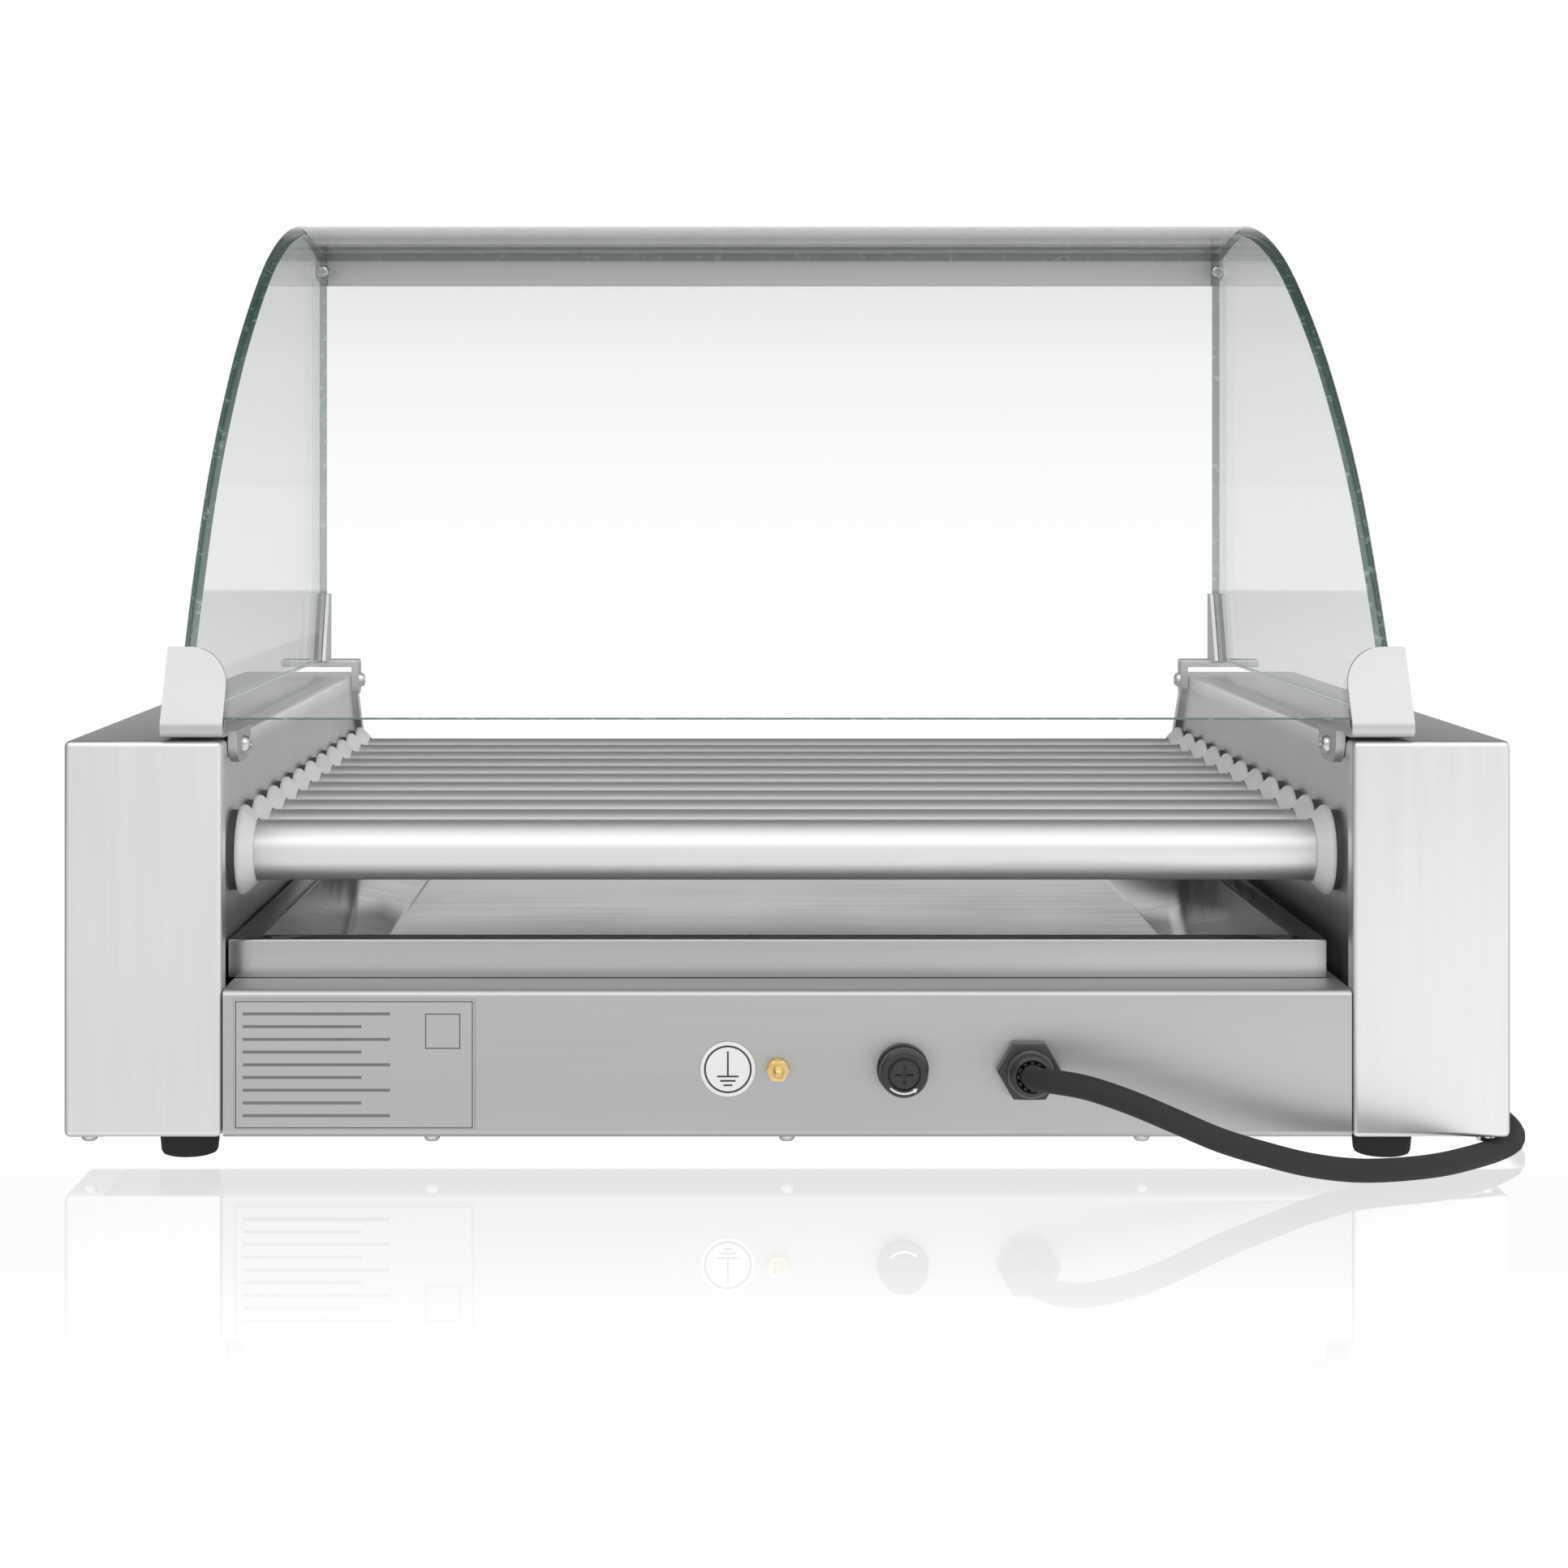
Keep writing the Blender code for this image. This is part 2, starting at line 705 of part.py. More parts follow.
def above_level(line, level):
    """The part of a rising line above a level, starting exactly on it."""
    kept = [point for point in line if point.y > level]
    below = line[len(line) - len(kept) - 1]
    share = (level - below.y) / (kept[0].y - below.y)
    return [below.lerp(kept[0], share), *kept]


def make_glass():
    """The bent sheet, and the two side panes under its ends."""
    outer = hood_profile()
    inner = above_level(offset_line(outer, glass_thickness), hood_bottom)
    half = hood_width / 2
    outline = [tuple(p) for p in outer] + [tuple(p) for p in reversed(inner)]
    place("curved_glass", prism(outline, "x", -half, half), "glass")
    under = above_level(offset_line(outer, glass_thickness + gap), hood_bottom)
    back = near + hood_back
    pane = [tuple(p) for p in under if p.x < back]
    last_z = pane[-1][1]
    pane += [(back, last_z), (back, hood_bottom)]
    for side, label in ((-1, "left"), (1, "right")):
        low, high = span(side, half - glass_thickness, half)
        place(f"{label}_side_glass", prism(pane, "x", low, high), "glass")


def make_rail():
    """The folded rail across the far top edge of the glass."""
    half = hood_width / 2 + rail_overhang
    start = near + max(hood_back, hood_end[0]) + 2 * gap
    end = start + bracket_thickness
    bottom = rail_top - rail_height
    front = [(-half + rail_corner, bottom), (half - rail_corner, bottom), (half, bottom + rail_corner),
             (half, rail_top), (-half, rail_top), (-half, bottom + rail_corner)]
    rail = place("top_rail", prism(front, "y", start, end), "grey_sheet")
    join(rail, "lip", box((-half, start - rail_lip, rail_top - bracket_thickness / 2),
                          (half, end, rail_top + bracket_thickness / 2)))


def lean():
    """How far the lower glass leans back, as metres in y for each metre in z."""
    return (hood_curve[0][0] - hood_start) / (hood_curve[0][1] - hood_rise)


def leaning(outward, bottom, height, thickness):
    """A thin leaning wall as (y, z) points; outward is its distance in front of the glass."""
    def at(z):
        return near + hood_start - outward + (z - hood_bottom) * lean()
    return ((at(bottom), bottom), (at(height), height), (at(height) + thickness, height),
            (at(bottom) + thickness, bottom))


def make_near_bracket(side, label):
    """A near hood bracket: a plate in front of the glass, a fin behind it, a foot and a screwed tab."""
    across = math.hypot(1.0, lean())
    foot_low = top + bracket_foot_gap
    foot_high = foot_low + bracket_thickness
    low, high = span(side, bracket_inner, bracket_inner + bracket_width)
    plate_across = bracket_thickness * across
    outward = (gap + bracket_thickness) * across
    plate = leaning(outward, foot_low, bracket_top, plate_across)
    bracket = place(f"near_bracket_{label}", prism(plate, "x", low, high), "grey_sheet")
    foot_start = plate[0][0] + bracket_thickness / 2
    foot = box((low, foot_start, foot_low), (high, foot_start + bracket_foot_depth, foot_high))
    join(bracket, "foot", foot)
    behind = (glass_thickness + gap) * across
    pane_edge = hood_width / 2 - glass_thickness - gap
    fin_low, fin_high = span(side, bracket_inner + 2 * gap, pane_edge)
    fin = leaning(-behind, foot_low + bracket_thickness / 2, foot_high + bracket_fin, plate_across)
    join(bracket, "fin", prism(fin, "x", fin_low, fin_high))
    tab_low, tab_high = span(side, mouth - gap - tab_thickness, mouth - gap)
    y = near + tab_from_near
    tab = ((y, foot_high), (y + tab_depth, foot_high), (y + tab_depth, tab_bottom + bracket_thickness),
           (y + tab_depth - bracket_thickness, tab_bottom), (y + bracket_thickness, tab_bottom),
           (y, tab_bottom + bracket_thickness))
    join(bracket, "tab", prism(tab, "x", tab_low, tab_high))
    shoulder = box((min(tab_low, low), y, foot_low), (max(tab_high, high), y + tab_depth, foot_high))
    join(bracket, "shoulder", shoulder)
    cut(bracket, "corner", corner_cutter(side))


def corner_cutter(side):
    """What rounds off the upper inner corner of a near bracket's plate."""
    centre_x = bracket_inner + bracket_corner
    centre_z = bracket_top - bracket_corner
    reach = bracket_corner + gap
    outline = [(centre_x - reach, centre_z + reach)]
    for i in range(7):
        angle = math.pi / 2 + math.pi / 2 * i / 6
        outline.append((centre_x + bracket_corner * math.cos(angle),
                        centre_z + bracket_corner * math.sin(angle)))
    outline.insert(1, (centre_x, centre_z + reach))
    outline.append((centre_x - reach, centre_z))
    return prism(mirrored(outline, side), "y", near - bracket_corner, near + bracket_foot_depth)


def make_far_bracket(side, label):
    """A far hood bracket: a bar on the housing, a channel round the pane's far edge and a screwed tab."""
    y_low = near + far_bracket_place - far_bar_depth / 2
    y_high = y_low + far_bar_depth
    bar_top = far_bar_bottom + far_bar_thickness
    start = mouth - gap - tab_thickness
    low, high = span(side, start, start + far_bar_width)
    bar = box((low, y_low, far_bar_bottom), (high, y_high, bar_top))
    bracket = place(f"far_bracket_{label}", bar, "grey_sheet")
    outside = hood_width / 2 + gap
    inside = hood_width / 2 - glass_thickness - gap
    back = near + hood_back + gap
    base = bar_top - far_bar_thickness / 2
    cheek = ((back + bracket_thickness, base), (back + bracket_thickness, far_fin_top),
             (back - far_cheek_top, far_fin_top), (back - far_cheek_base, bar_top),
             (y_low + far_bar_thickness / 2, base))
    channel = bmesh.new()
    low, high = span(side, inside - bracket_thickness, outside + bracket_thickness)
    add_prism(channel, cheek, "x", low, high)
    join(bracket, "channel", channel)
    low, high = span(side, inside, outside)
    glass_room = box((low, back - 2 * far_cheek_base, hood_bottom - gap), (high, back, far_fin_top + gap))
    cut(bracket, "glass_room", glass_room)
    low, high = span(side, start, mouth - gap)
    tab = ((y_low, base), (y_high, base), (y_high, far_tab_bottom + bracket_thickness),
           (y_high - bracket_thickness, far_tab_bottom), (y_low + bracket_thickness, far_tab_bottom),
           (y_low, far_tab_bottom + bracket_thickness))
    join(bracket, "tab", prism(tab, "x", low, high))


def make_plates():
    """The data plate and the round ground-symbol label on the cord's panel."""
    face = near - gap
    bottom = floor + plate_above_floor
    upper = shelf - plate_below_shelf
    place("data_plate", box((plate_left, face - plate_thickness, bottom),
                            (plate_left + plate_width, face, upper)), "label")
    place("ground_label", cylinder("y", (label_place, fitting_height), label_diameter,
                                   face - label_thickness, face), "white_label")


def hexagon(across_flats, centre, turn):
    """The corners of a hexagon as (x, z) points."""
    radius = across_flats / math.sqrt(3)
    return [(centre[0] + radius * math.cos(turn + math.pi * i / 3),
             centre[1] + radius * math.sin(turn + math.pi * i / 3)) for i in range(6)]


def make_ground_stud():
    """The brass ground stud with its nut."""
    centre = (stud_place, fitting_height)
    bar = cylinder("y", centre, stud_diameter, near - stud_reach, near + 4 * sheet, 12)
    stud = place("ground_stud", bar, "brass")
    face = near - gap
    join(stud, "nut", prism(hexagon(nut_across_flats, centre, 0.0), "y", face - nut_thickness, face))


def make_fuse():
    """The fuse holder, and the cap that a quarter turn releases."""
    centre = (fuse_place, fitting_height)
    face = near - gap
    flange = fuse_flange_diameter / 2
    barrel = fuse_barrel_diameter / 2
    bore = fuse_bore_diameter / 2
    front = face - fuse_flange_thickness
    inner_end = near + fuse_barrel_length
    profile = ((front, bore), (front, flange), (face, flange), (face, barrel), (inner_end, barrel),
               (inner_end, bore))
    place("fuse_holder", turned(profile, "y", centre, closed=True), "black_plastic")
    cap_back = front - gap
    cap_front = cap_back - fuse_cap_height
    cap = fuse_cap_diameter / 2
    stem = bore * math.cos(math.pi / fine) - gap
    profile = ((cap_front, cap - sheet), (cap_front + sheet, cap), (cap_back, cap), (cap_back, stem),
               (cap_back + fuse_stem_length, stem))
    piece = place("fuse_cap", turned(profile, "y", centre), "black_plastic",
                  (fuse_place, near, fitting_height))
    arm = cap / 2
    for name, across, along in (("level_slot", arm, sheet / 2), ("upright_slot", sheet / 2, arm)):
        cut(piece, name, box((fuse_place - across, cap_front - sheet, fitting_height - along),
                             (fuse_place + across, cap_front + sheet, fitting_height + along)))


def make_gland():
    """The cord's gland: a hexagon against the panel, a dome in front of it and a threaded end inside."""
    centre = (gland_place, fitting_height)
    face = near - gap
    hex_front = face - gland_hex_thickness
    gland = place("cable_gland", prism(hexagon(gland_across_flats, centre, 0.0), "y", hex_front, face),
                  "black_plastic")
    dome = gland_dome_diameter / 2
    end = near - gland_reach
    profile = ((end, gland_mouth_diameter / 2), (end + sheet, gland_shoulder_diameter / 2),
               (end + 3 * sheet, dome), (face - sheet, dome))
    join(gland, "dome", turned(profile, "y", centre))
    thread_end = near + gland_barrel_length
    join(gland, "thread", cylinder("y", centre, gland_barrel_diameter, face - sheet, thread_end))


def make_thermostats():
    """The two thermostats behind the operator's panel, each with its knob and shaft."""
    width, depth, height = thermostat_size
    front = far - sheet - thermostat_standoff
    bore = (knob_shaft_diameter / 2 + shaft_clearance) / math.cos(math.pi / coarse)
    for number, x in enumerate(knob_places, 1):
        low = (x - width / 2, front - depth, control_height - height / 2)
        high = (x + width / 2, front, control_height + height / 2)
        body = place(f"thermostat_{number}", box(low, high), "zinc")
        shaft_end = far - knob_shaft_length
        cut(body, "bore", cylinder("y", (x, control_height), 2 * bore, shaft_end - sheet, far, coarse))
        start = far + knob_standoff
        skirt = knob_diameter / 2
        grip = knob_grip_diameter / 2
        shaft = knob_shaft_diameter / 2
        profile = ((shaft_end, shaft), (start, shaft), (start, skirt), (start + knob_skirt, skirt),
                   (start + 2 * knob_skirt, grip), (far + knob_reach - sheet, grip),
                   (far + knob_reach, grip - sheet))
        knob = place(f"knob_{number}", turned(profile, "y", (x, control_height)), "black_plastic",
                     (x, far, control_height))
        mark = box((x - sheet / 2, far + knob_reach - sheet / 2, control_height + grip / 3),
                   (x + sheet / 2, far + knob_reach + sheet, control_height + 2 * grip))
        cut(knob, "mark", mark)


def make_switches():
    """The two rocker switches."""
    bezel_width, bezel_height, bezel_depth = switch_bezel
    width, height, depth = switch_body
    room_x = width / 2 - switch_wall
    room_z = height / 2 - switch_wall / 2
    room_depth = depth / 2
    face = far + gap
    for number, x in enumerate(switch_places, 1):
        housing = place(f"switch_housing_{number}",
                        box((x - bezel_width / 2, face, control_height - bezel_height / 2),
                            (x + bezel_width / 2, face + bezel_depth, control_height + bezel_height / 2)),
                        "black_plastic")
        join(housing, "body", box((x - width / 2, face - depth, control_height - height / 2),
                                  (x + width / 2, face + bezel_depth / 2, control_height + height / 2)))
        cut(housing, "room", box((x - room_x, face - room_depth, control_height - room_z),
                                 (x + room_x, face + 2 * bezel_depth, control_height + room_z)))
        make_rocker(number, x, room_x - rocker_clearance, room_z, face + bezel_depth)


def make_rocker(number, x, half, room_z, front):
    """A rocker at rest with its lower half pressed in. It turns about a pin along x."""
    long = room_z - rocker_end_clearance
    pin = Vector((front - rocker_pin_depth, control_height))
    outline = ((rocker_crest, -long), (rocker_hollow, 0.0), (rocker_crest, long), (rocker_edge, long),
               (-rocker_root, long / 4), (-rocker_root, -long / 4), (rocker_edge, -long))
    tilt = Matrix.Rotation(-rocker_tilt, 2)
    section = [tuple(pin + tilt @ Vector(point)) for point in outline]
    bm = prism(section, "x", x - half, x + half)
    place(f"rocker_{number}", bm, "black_plastic", (x, *pin))


def make_lamps():
    """The two pilot lights."""
    for number, x in enumerate(lamp_places, 1):
        radius = lamp_diameter / 2
        face = far + gap
        profile = ((far - lamp_length, radius), (face, radius), (face, radius + sheet),
                   (face + sheet, radius + sheet), (face + lamp_reach, lamp_tip_diameter / 2))
        place(f"pilot_light_{number}", turned(profile, "y", (x, control_height), coarse), "red_lens")


def make_cord():
    """The free stretch of the cord, as a curve with a round section."""
    points = catmull_rom([Vector((x, near + y, z)) for x, y, z in cord_route], cord_steps)
    curve = bpy.data.curves.new("power_cord", "CURVE")
    curve.dimensions = "3D"
    curve.bevel_depth = cord_diameter / 2
    curve.bevel_resolution = 2
    curve.use_fill_caps = True
    spline = curve.splines.new("POLY")
    spline.points.add(len(points) - 1)
    for knot, point in zip(spline.points, points):
        knot.co = (*point, 1.0)
    cord = bpy.data.objects.new("power_cord", curve)
    curve.materials.append(finish_material("power_cord", "rubber"))
    bpy.context.scene.collection.objects.link(cord)


def make_coil():
    """The wound-up length as one ring, with the plug lying on it."""
    centre = (coil_centre[0], near + coil_centre[1])
    middle = coil_mean_diameter / 2
    height = coil_layers * cord_diameter
    inner = middle - cord_diameter
    outer = middle + cord_diameter
    round_off = cord_diameter / 3
    profile = ((0.0, inner + round_off), (0.0, outer - round_off), (round_off, outer),
               (height - round_off, outer), (height, outer - round_off), (height, inner + round_off),
               (height - round_off, inner), (round_off, inner))
    place("cord_coil", turned(profile, "z", centre, closed=True), "rubber")
    make_plug(centre, height + gap, middle)


def make_plug(centre, bottom, middle):
    """The moulded plug, its two blades and its ground pin, lying along x on the coil's far side."""
    y = centre[1] + middle
    start = centre[0] - plug_length / 2
    half = plug_width / 2
    end = start + plug_length
    outline = ((start, y - half / 2), (start, y + half / 2), (start + plug_nose, y + half),
               (end, y + half), (end, y - half), (start + plug_nose, y - half))
    plug = place("plug", prism(outline, "z", bottom, bottom + plug_height), "rubber")
    thickness, length, width = blade
    middle_z = bottom + plug_height / 2
    for number, shift in enumerate((-blade_spacing / 2, blade_spacing / 2)):
        join(plug, f"blade_{number}", box((end - sheet, y + shift - thickness / 2, middle_z + gap),
                                          (end + length, y + shift + thickness / 2, middle_z + width)))
    pin_z = middle_z + width / 2 - ground_pin_drop
    pin = cylinder("x", (y, pin_z), ground_pin_diameter, end - sheet, end + ground_pin_length, 12)
    join(plug, "pin", pin)


def make_hood():
    """The glass, its rail and its four brackets."""
    make_glass()
    make_rail()
    for side, label in ((-1, "left"), (1, "right")):
        make_near_bracket(side, label)
        make_far_bracket(side, label)


def make_body():
    """The base, the feet and the two housings."""
    make_base()
    make_feet()
    for side, label in ((-1, "left"), (1, "right")):
        make_side_plate(side, label)
        make_end_cover(side, label)


def make_roller_deck():
    """The rollers, what carries them, what drives them, what heats them and the tray below."""
    for side, label in ((-1, "left"), (1, "right")):
        make_bushes(side, label)
    make_rollers()
    make_heaters()
    make_chain()
    make_drive()
    make_tray()


def make_fittings():
    """What is on the cord's panel and on the operator's panel."""
    make_plates()
    make_ground_stud()
    make_fuse()
    make_gland()
    make_thermostats()
    make_switches()
    make_lamps()


clear_scene()
make_body()
make_roller_deck()
make_hood()
make_fittings()
make_cord()
make_coil()
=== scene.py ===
"""The looks of a counter roller grill with a bent glass hood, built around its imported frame.

Metres, +Z up. The cord's side faces -Y and the operator's side faces +Y.
"""
import sys

import json
import logging
import math
from dataclasses import dataclass
from enum import Enum
from typing import Iterable, Optional, Sequence, Union

import bmesh
import bpy
from mathutils import Matrix, Vector

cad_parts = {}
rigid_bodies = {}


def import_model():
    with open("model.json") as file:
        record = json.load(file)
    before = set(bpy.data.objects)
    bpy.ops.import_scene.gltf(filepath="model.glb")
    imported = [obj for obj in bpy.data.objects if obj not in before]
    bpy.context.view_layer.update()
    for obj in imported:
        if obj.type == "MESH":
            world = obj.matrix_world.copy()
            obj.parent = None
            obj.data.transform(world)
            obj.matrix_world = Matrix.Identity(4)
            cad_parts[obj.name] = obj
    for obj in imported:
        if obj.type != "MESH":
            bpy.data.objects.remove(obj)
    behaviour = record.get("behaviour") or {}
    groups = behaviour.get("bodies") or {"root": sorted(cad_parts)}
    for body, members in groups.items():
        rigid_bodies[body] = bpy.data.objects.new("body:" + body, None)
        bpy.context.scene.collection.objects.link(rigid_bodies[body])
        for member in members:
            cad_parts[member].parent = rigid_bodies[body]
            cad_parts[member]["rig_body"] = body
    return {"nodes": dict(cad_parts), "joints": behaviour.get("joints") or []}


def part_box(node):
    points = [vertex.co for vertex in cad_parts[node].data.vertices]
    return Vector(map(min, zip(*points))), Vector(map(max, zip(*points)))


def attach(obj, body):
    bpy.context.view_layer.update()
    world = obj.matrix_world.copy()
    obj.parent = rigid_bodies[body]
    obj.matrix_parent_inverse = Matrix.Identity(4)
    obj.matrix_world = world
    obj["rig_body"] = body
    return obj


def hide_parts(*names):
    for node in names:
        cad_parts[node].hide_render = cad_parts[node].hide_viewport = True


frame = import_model()
log = logging.getLogger("grill")

Flat = tuple[float, float]
Spot = tuple[float, float, float]
Colour = tuple[float, float, float]
Number = Union["Field", float]

SHEET = 0.0012
GAP = 0.0003


class Axis(Enum):
    """The axis that a turned or swept shape follows."""

    X = 0
    Y = 1
    Z = 2

    def spot(self, along: float, first: float, second: float) -> Spot:
        """The point at a place along the axis, with its two other coordinates in X, Y, Z order."""
        others = [first, second]
        others.insert(self.value, along)
        return tuple(others)


class Side(Enum):
    """The two ends of the rollers."""

    LEFT = -1
    RIGHT = 1

    @property
    def label(self) -> str:
        """The word that a piece's name uses."""
        return self.name.lower()

    def span(self, inner: float, outer: float) -> Flat:
        """The low and high x of a stretch on this side."""
        return tuple(sorted((self.value * inner, self.value * outer)))


class Joining(Enum):
    """What a Boolean does with the second shape."""

    ADD = "UNION"
    CUT = "DIFFERENCE"
    KEEP = "INTERSECT"


# Shaders


class Field:
    """An output of a node tree, on which Python's arithmetic adds Math nodes."""

    def __init__(self, kit: "Kit", socket: bpy.types.NodeSocket) -> None:
        """Wraps a socket.

        Args:
            kit: the material's node kit.
            socket: the output that this stands for.
        """
        self.kit = kit
        self.socket = socket

    def _math(self, operation: str, first: Number, second: Number) -> "Field":
        """One Math node on two values."""
        node = self.kit.node("ShaderNodeMath", {"operation": operation}, {0: first, 1: second})
        return Field(self.kit, node.outputs[0])

    def __add__(self, other: Number) -> "Field":
        """self + other."""
        return self._math("ADD", self, other)

    def __radd__(self, other: float) -> "Field":
        """other + self."""
        return self._math("ADD", other, self)

    def __sub__(self, other: Number) -> "Field":
        """self - other."""
        return self._math("SUBTRACT", self, other)

    def __rsub__(self, other: float) -> "Field":
        """other - self."""
        return self._math("SUBTRACT", other, self)

    def __mul__(self, other: Number) -> "Field":
        """self * other."""
        return self._math("MULTIPLY", self, other)

    def __rmul__(self, other: float) -> "Field":
        """other * self."""
        return self._math("MULTIPLY", other, self)

    def __pow__(self, other: Number) -> "Field":
        """self ** other."""
        return self._math("POWER", self, other)

    def turn_from(self, other: "Field") -> "Field":
        """The angle in radians, from the other value's direction towards this one's.

        Args:
            other: The value along the angle's start.
        Returns:
            The angle as a field.
        """
        return self._math("ARCTAN2", self, other)

    def step(self, low: float, high: float) -> "Field":
        """0 at low and 1 at high, with a soft rise between them. Low may be the greater one."""
        settings = {"interpolation_type": "SMOOTHSTEP"}
        node = self.kit.node("ShaderNodeMapRange", settings, {0: self, 1: low, 2: high})
        return Field(self.kit, node.outputs[0])


class Kit:
    """The node tree of one material or of the world."""

    def __init__(self, owner: Union[bpy.types.Material, bpy.types.World]) -> None:
        """Empties the owner's node tree.

        Args:
            owner: the material or world whose nodes are made.
        """
        owner.use_nodes = True
        self.tree = owner.node_tree
        self.tree.nodes.clear()

    def node(self, kind: str, settings: Optional[dict] = None,
             sockets: Optional[dict] = None) -> bpy.types.Node:
        """Adds a node.

        Args:
            kind: the node's type.
            settings: its properties, set before its sockets; "stops" are a colour ramp's.
            sockets: values or fields by input name or number.

        Returns:
            The new node.
        """
        made = self.tree.nodes.new(kind)
        for name, value in (settings or {}).items():
            if name == "stops":
                ramp = made.color_ramp
                while len(ramp.elements) < len(value):
                    ramp.elements.new(0.5)
                for element, (place, shade) in zip(ramp.elements, value):
                    element.position = place
                    element.color = (*shade, 1.0)
            else:
                setattr(made, name, value)
        for name, value in (sockets or {}).items():
            if isinstance(value, Field):
                self.tree.links.new(value.socket, made.inputs[name])
            else:
                made.inputs[name].default_value = value
        return made

    def place(self) -> Field:
        """The place on the piece, in metres."""
        return Field(self, self.node("ShaderNodeTexCoord").outputs["Object"])

    def parts(self, vector: Field) -> tuple["Field", "Field", "Field"]:
        """A vector's x, y and z."""
        node = self.node("ShaderNodeSeparateXYZ", {}, {0: vector})
        return tuple(Field(self, output) for output in node.outputs)

    def seen(self) -> Field:
        """1 for what the camera sees directly or through clear glass, 0 for what mirrors show."""
        return Field(self, self.node("ShaderNodeLightPath").outputs["Is Camera Ray"])

    def stretched(self, vector: Field, scale: Spot) -> Field:
        """A vector, scaled by its own factor along each axis."""
        node = self.node("ShaderNodeVectorMath", {"operation": "MULTIPLY"}, {0: vector, 1: scale})
        return Field(self, node.outputs[0])

    def noise(self, vector: Field, scale: float, detail: float = 2.0) -> Field:
        """Soft noise about 0.5."""
        node = self.node("ShaderNodeTexNoise", {}, {"Vector": vector, "Scale": scale, "Detail": detail})
        return Field(self, node.outputs[0])

    def mix(self, factor: Number, first: Union[Field, Colour], second: Union[Field, Colour]) -> Field:
        """One colour turning into another as the factor rises from 0 to 1."""
        ends = [end if isinstance(end, Field) else (*end, 1.0) for end in (first, second)]
        node = self.node("ShaderNodeMix", {"data_type": "RGBA"}, {0: factor, 6: ends[0], 7: ends[1]})
        return Field(self, node.outputs[2])

    def bump(self, height: Field, distance: float, strength: float = 1.0) -> Field:
        """The normal over a relief of that depth."""
        node = self.node("ShaderNodeBump", {}, {"Height": height, "Distance": distance, "Strength": strength})
        return Field(self, node.outputs[0])

    def principled(self, sockets: dict) -> Field:
        """A Principled shader."""
        return Field(self, self.node("ShaderNodeBsdfPrincipled", {}, sockets).outputs[0])

    def surface(self, shader: Field) -> None:
        """Shows the shader on the surface."""
        self.node("ShaderNodeOutputMaterial", {}, {"Surface": shader})


@dataclass(frozen=True)
class Finish:
    """What a piece is made of. Each finish is one material, made the first time it is asked for."""

    name: str
    slot: str

    def material(self) -> bpy.types.Material:
        """The Blender material of this finish."""
        made = bpy.data.materials.get(self.name)
        if made is None:
            made = bpy.data.materials.new(self.name)
            self.dress(Kit(made))
        return made

    def dress(self, kit: Kit) -> None:
        """Makes the nodes."""
        raise NotImplementedError


@dataclass(frozen=True)
class BrushedSteel(Finish):
    """Sheet or tube with fine lines along one axis, and the faint smears of handling."""

    grain: Axis = Axis.X
    shade: float = 0.70
    roughness: float = 0.27
    lines: float = 2200.0
    depth: float = 0.000003
    streak: float = 0.03
    stretch: float = 0.0
    turn: float = 0.0

    def dress(self, kit: Kit) -> None:
        """Fine and broad lines in shade, gloss and relief, under slow smears."""
        place = kit.place()
        across = [self.lines] * 3
        across[self.grain.value] = self.lines / 150
        wide = [self.lines / 12] * 3
        wide[self.grain.value] = self.lines / 250
        fine = kit.noise(kit.stretched(place, tuple(across)), 1.0, 3.0)
        broad = kit.noise(kit.stretched(place, tuple(wide)), 1.0, 2.0)
        smear = kit.noise(place, 9.0, 3.0).step(0.35, 0.75)
        lines = (fine * 0.6 + broad * 0.4).step(0.30, 0.70)
        dark = self.shade * (1 - self.streak)
        light = min(self.shade * (1 + self.streak), 1.0)
        kit.surface(kit.principled({
            "Base Color": kit.mix(lines, (dark, dark, dark * 1.005), (light, light, light * 1.003)),
            "Metallic": 1.0,
            "Roughness": self.roughness + (lines - 0.5) * 0.05 + smear * 0.03,
            "Anisotropic": self.stretch,
            "Anisotropic Rotation": self.turn,
            "Normal": kit.bump(fine, self.depth),
        }))


@dataclass(frozen=True)
class PlatedSteel(Finish):
    """Zinc-plated sheet with the faint patches of its plating."""

    shade: Colour = (0.50, 0.50, 0.48)
    roughness: float = 0.38

    def dress(self, kit: Kit) -> None:
        """Patches of two shades, with dust in the roughness."""
        place = kit.place()
        patch = kit.node("ShaderNodeTexVoronoi", {"feature": "SMOOTH_F1"}, {"Vector": place, "Scale": 180.0})
        patches = Field(kit, patch.outputs["Distance"])
        grain = kit.noise(place, 900.0, 2.0)
        pale = tuple(channel * 1.25 for channel in self.shade)
        kit.surface(kit.principled({
            "Base Color": kit.mix(patches.step(0.1, 0.8), pale, self.shade),
            "Metallic": 1.0,
            "Roughness": self.roughness + (grain - 0.5) * 0.2,
            "Normal": kit.bump(grain, 0.00004),
        }))


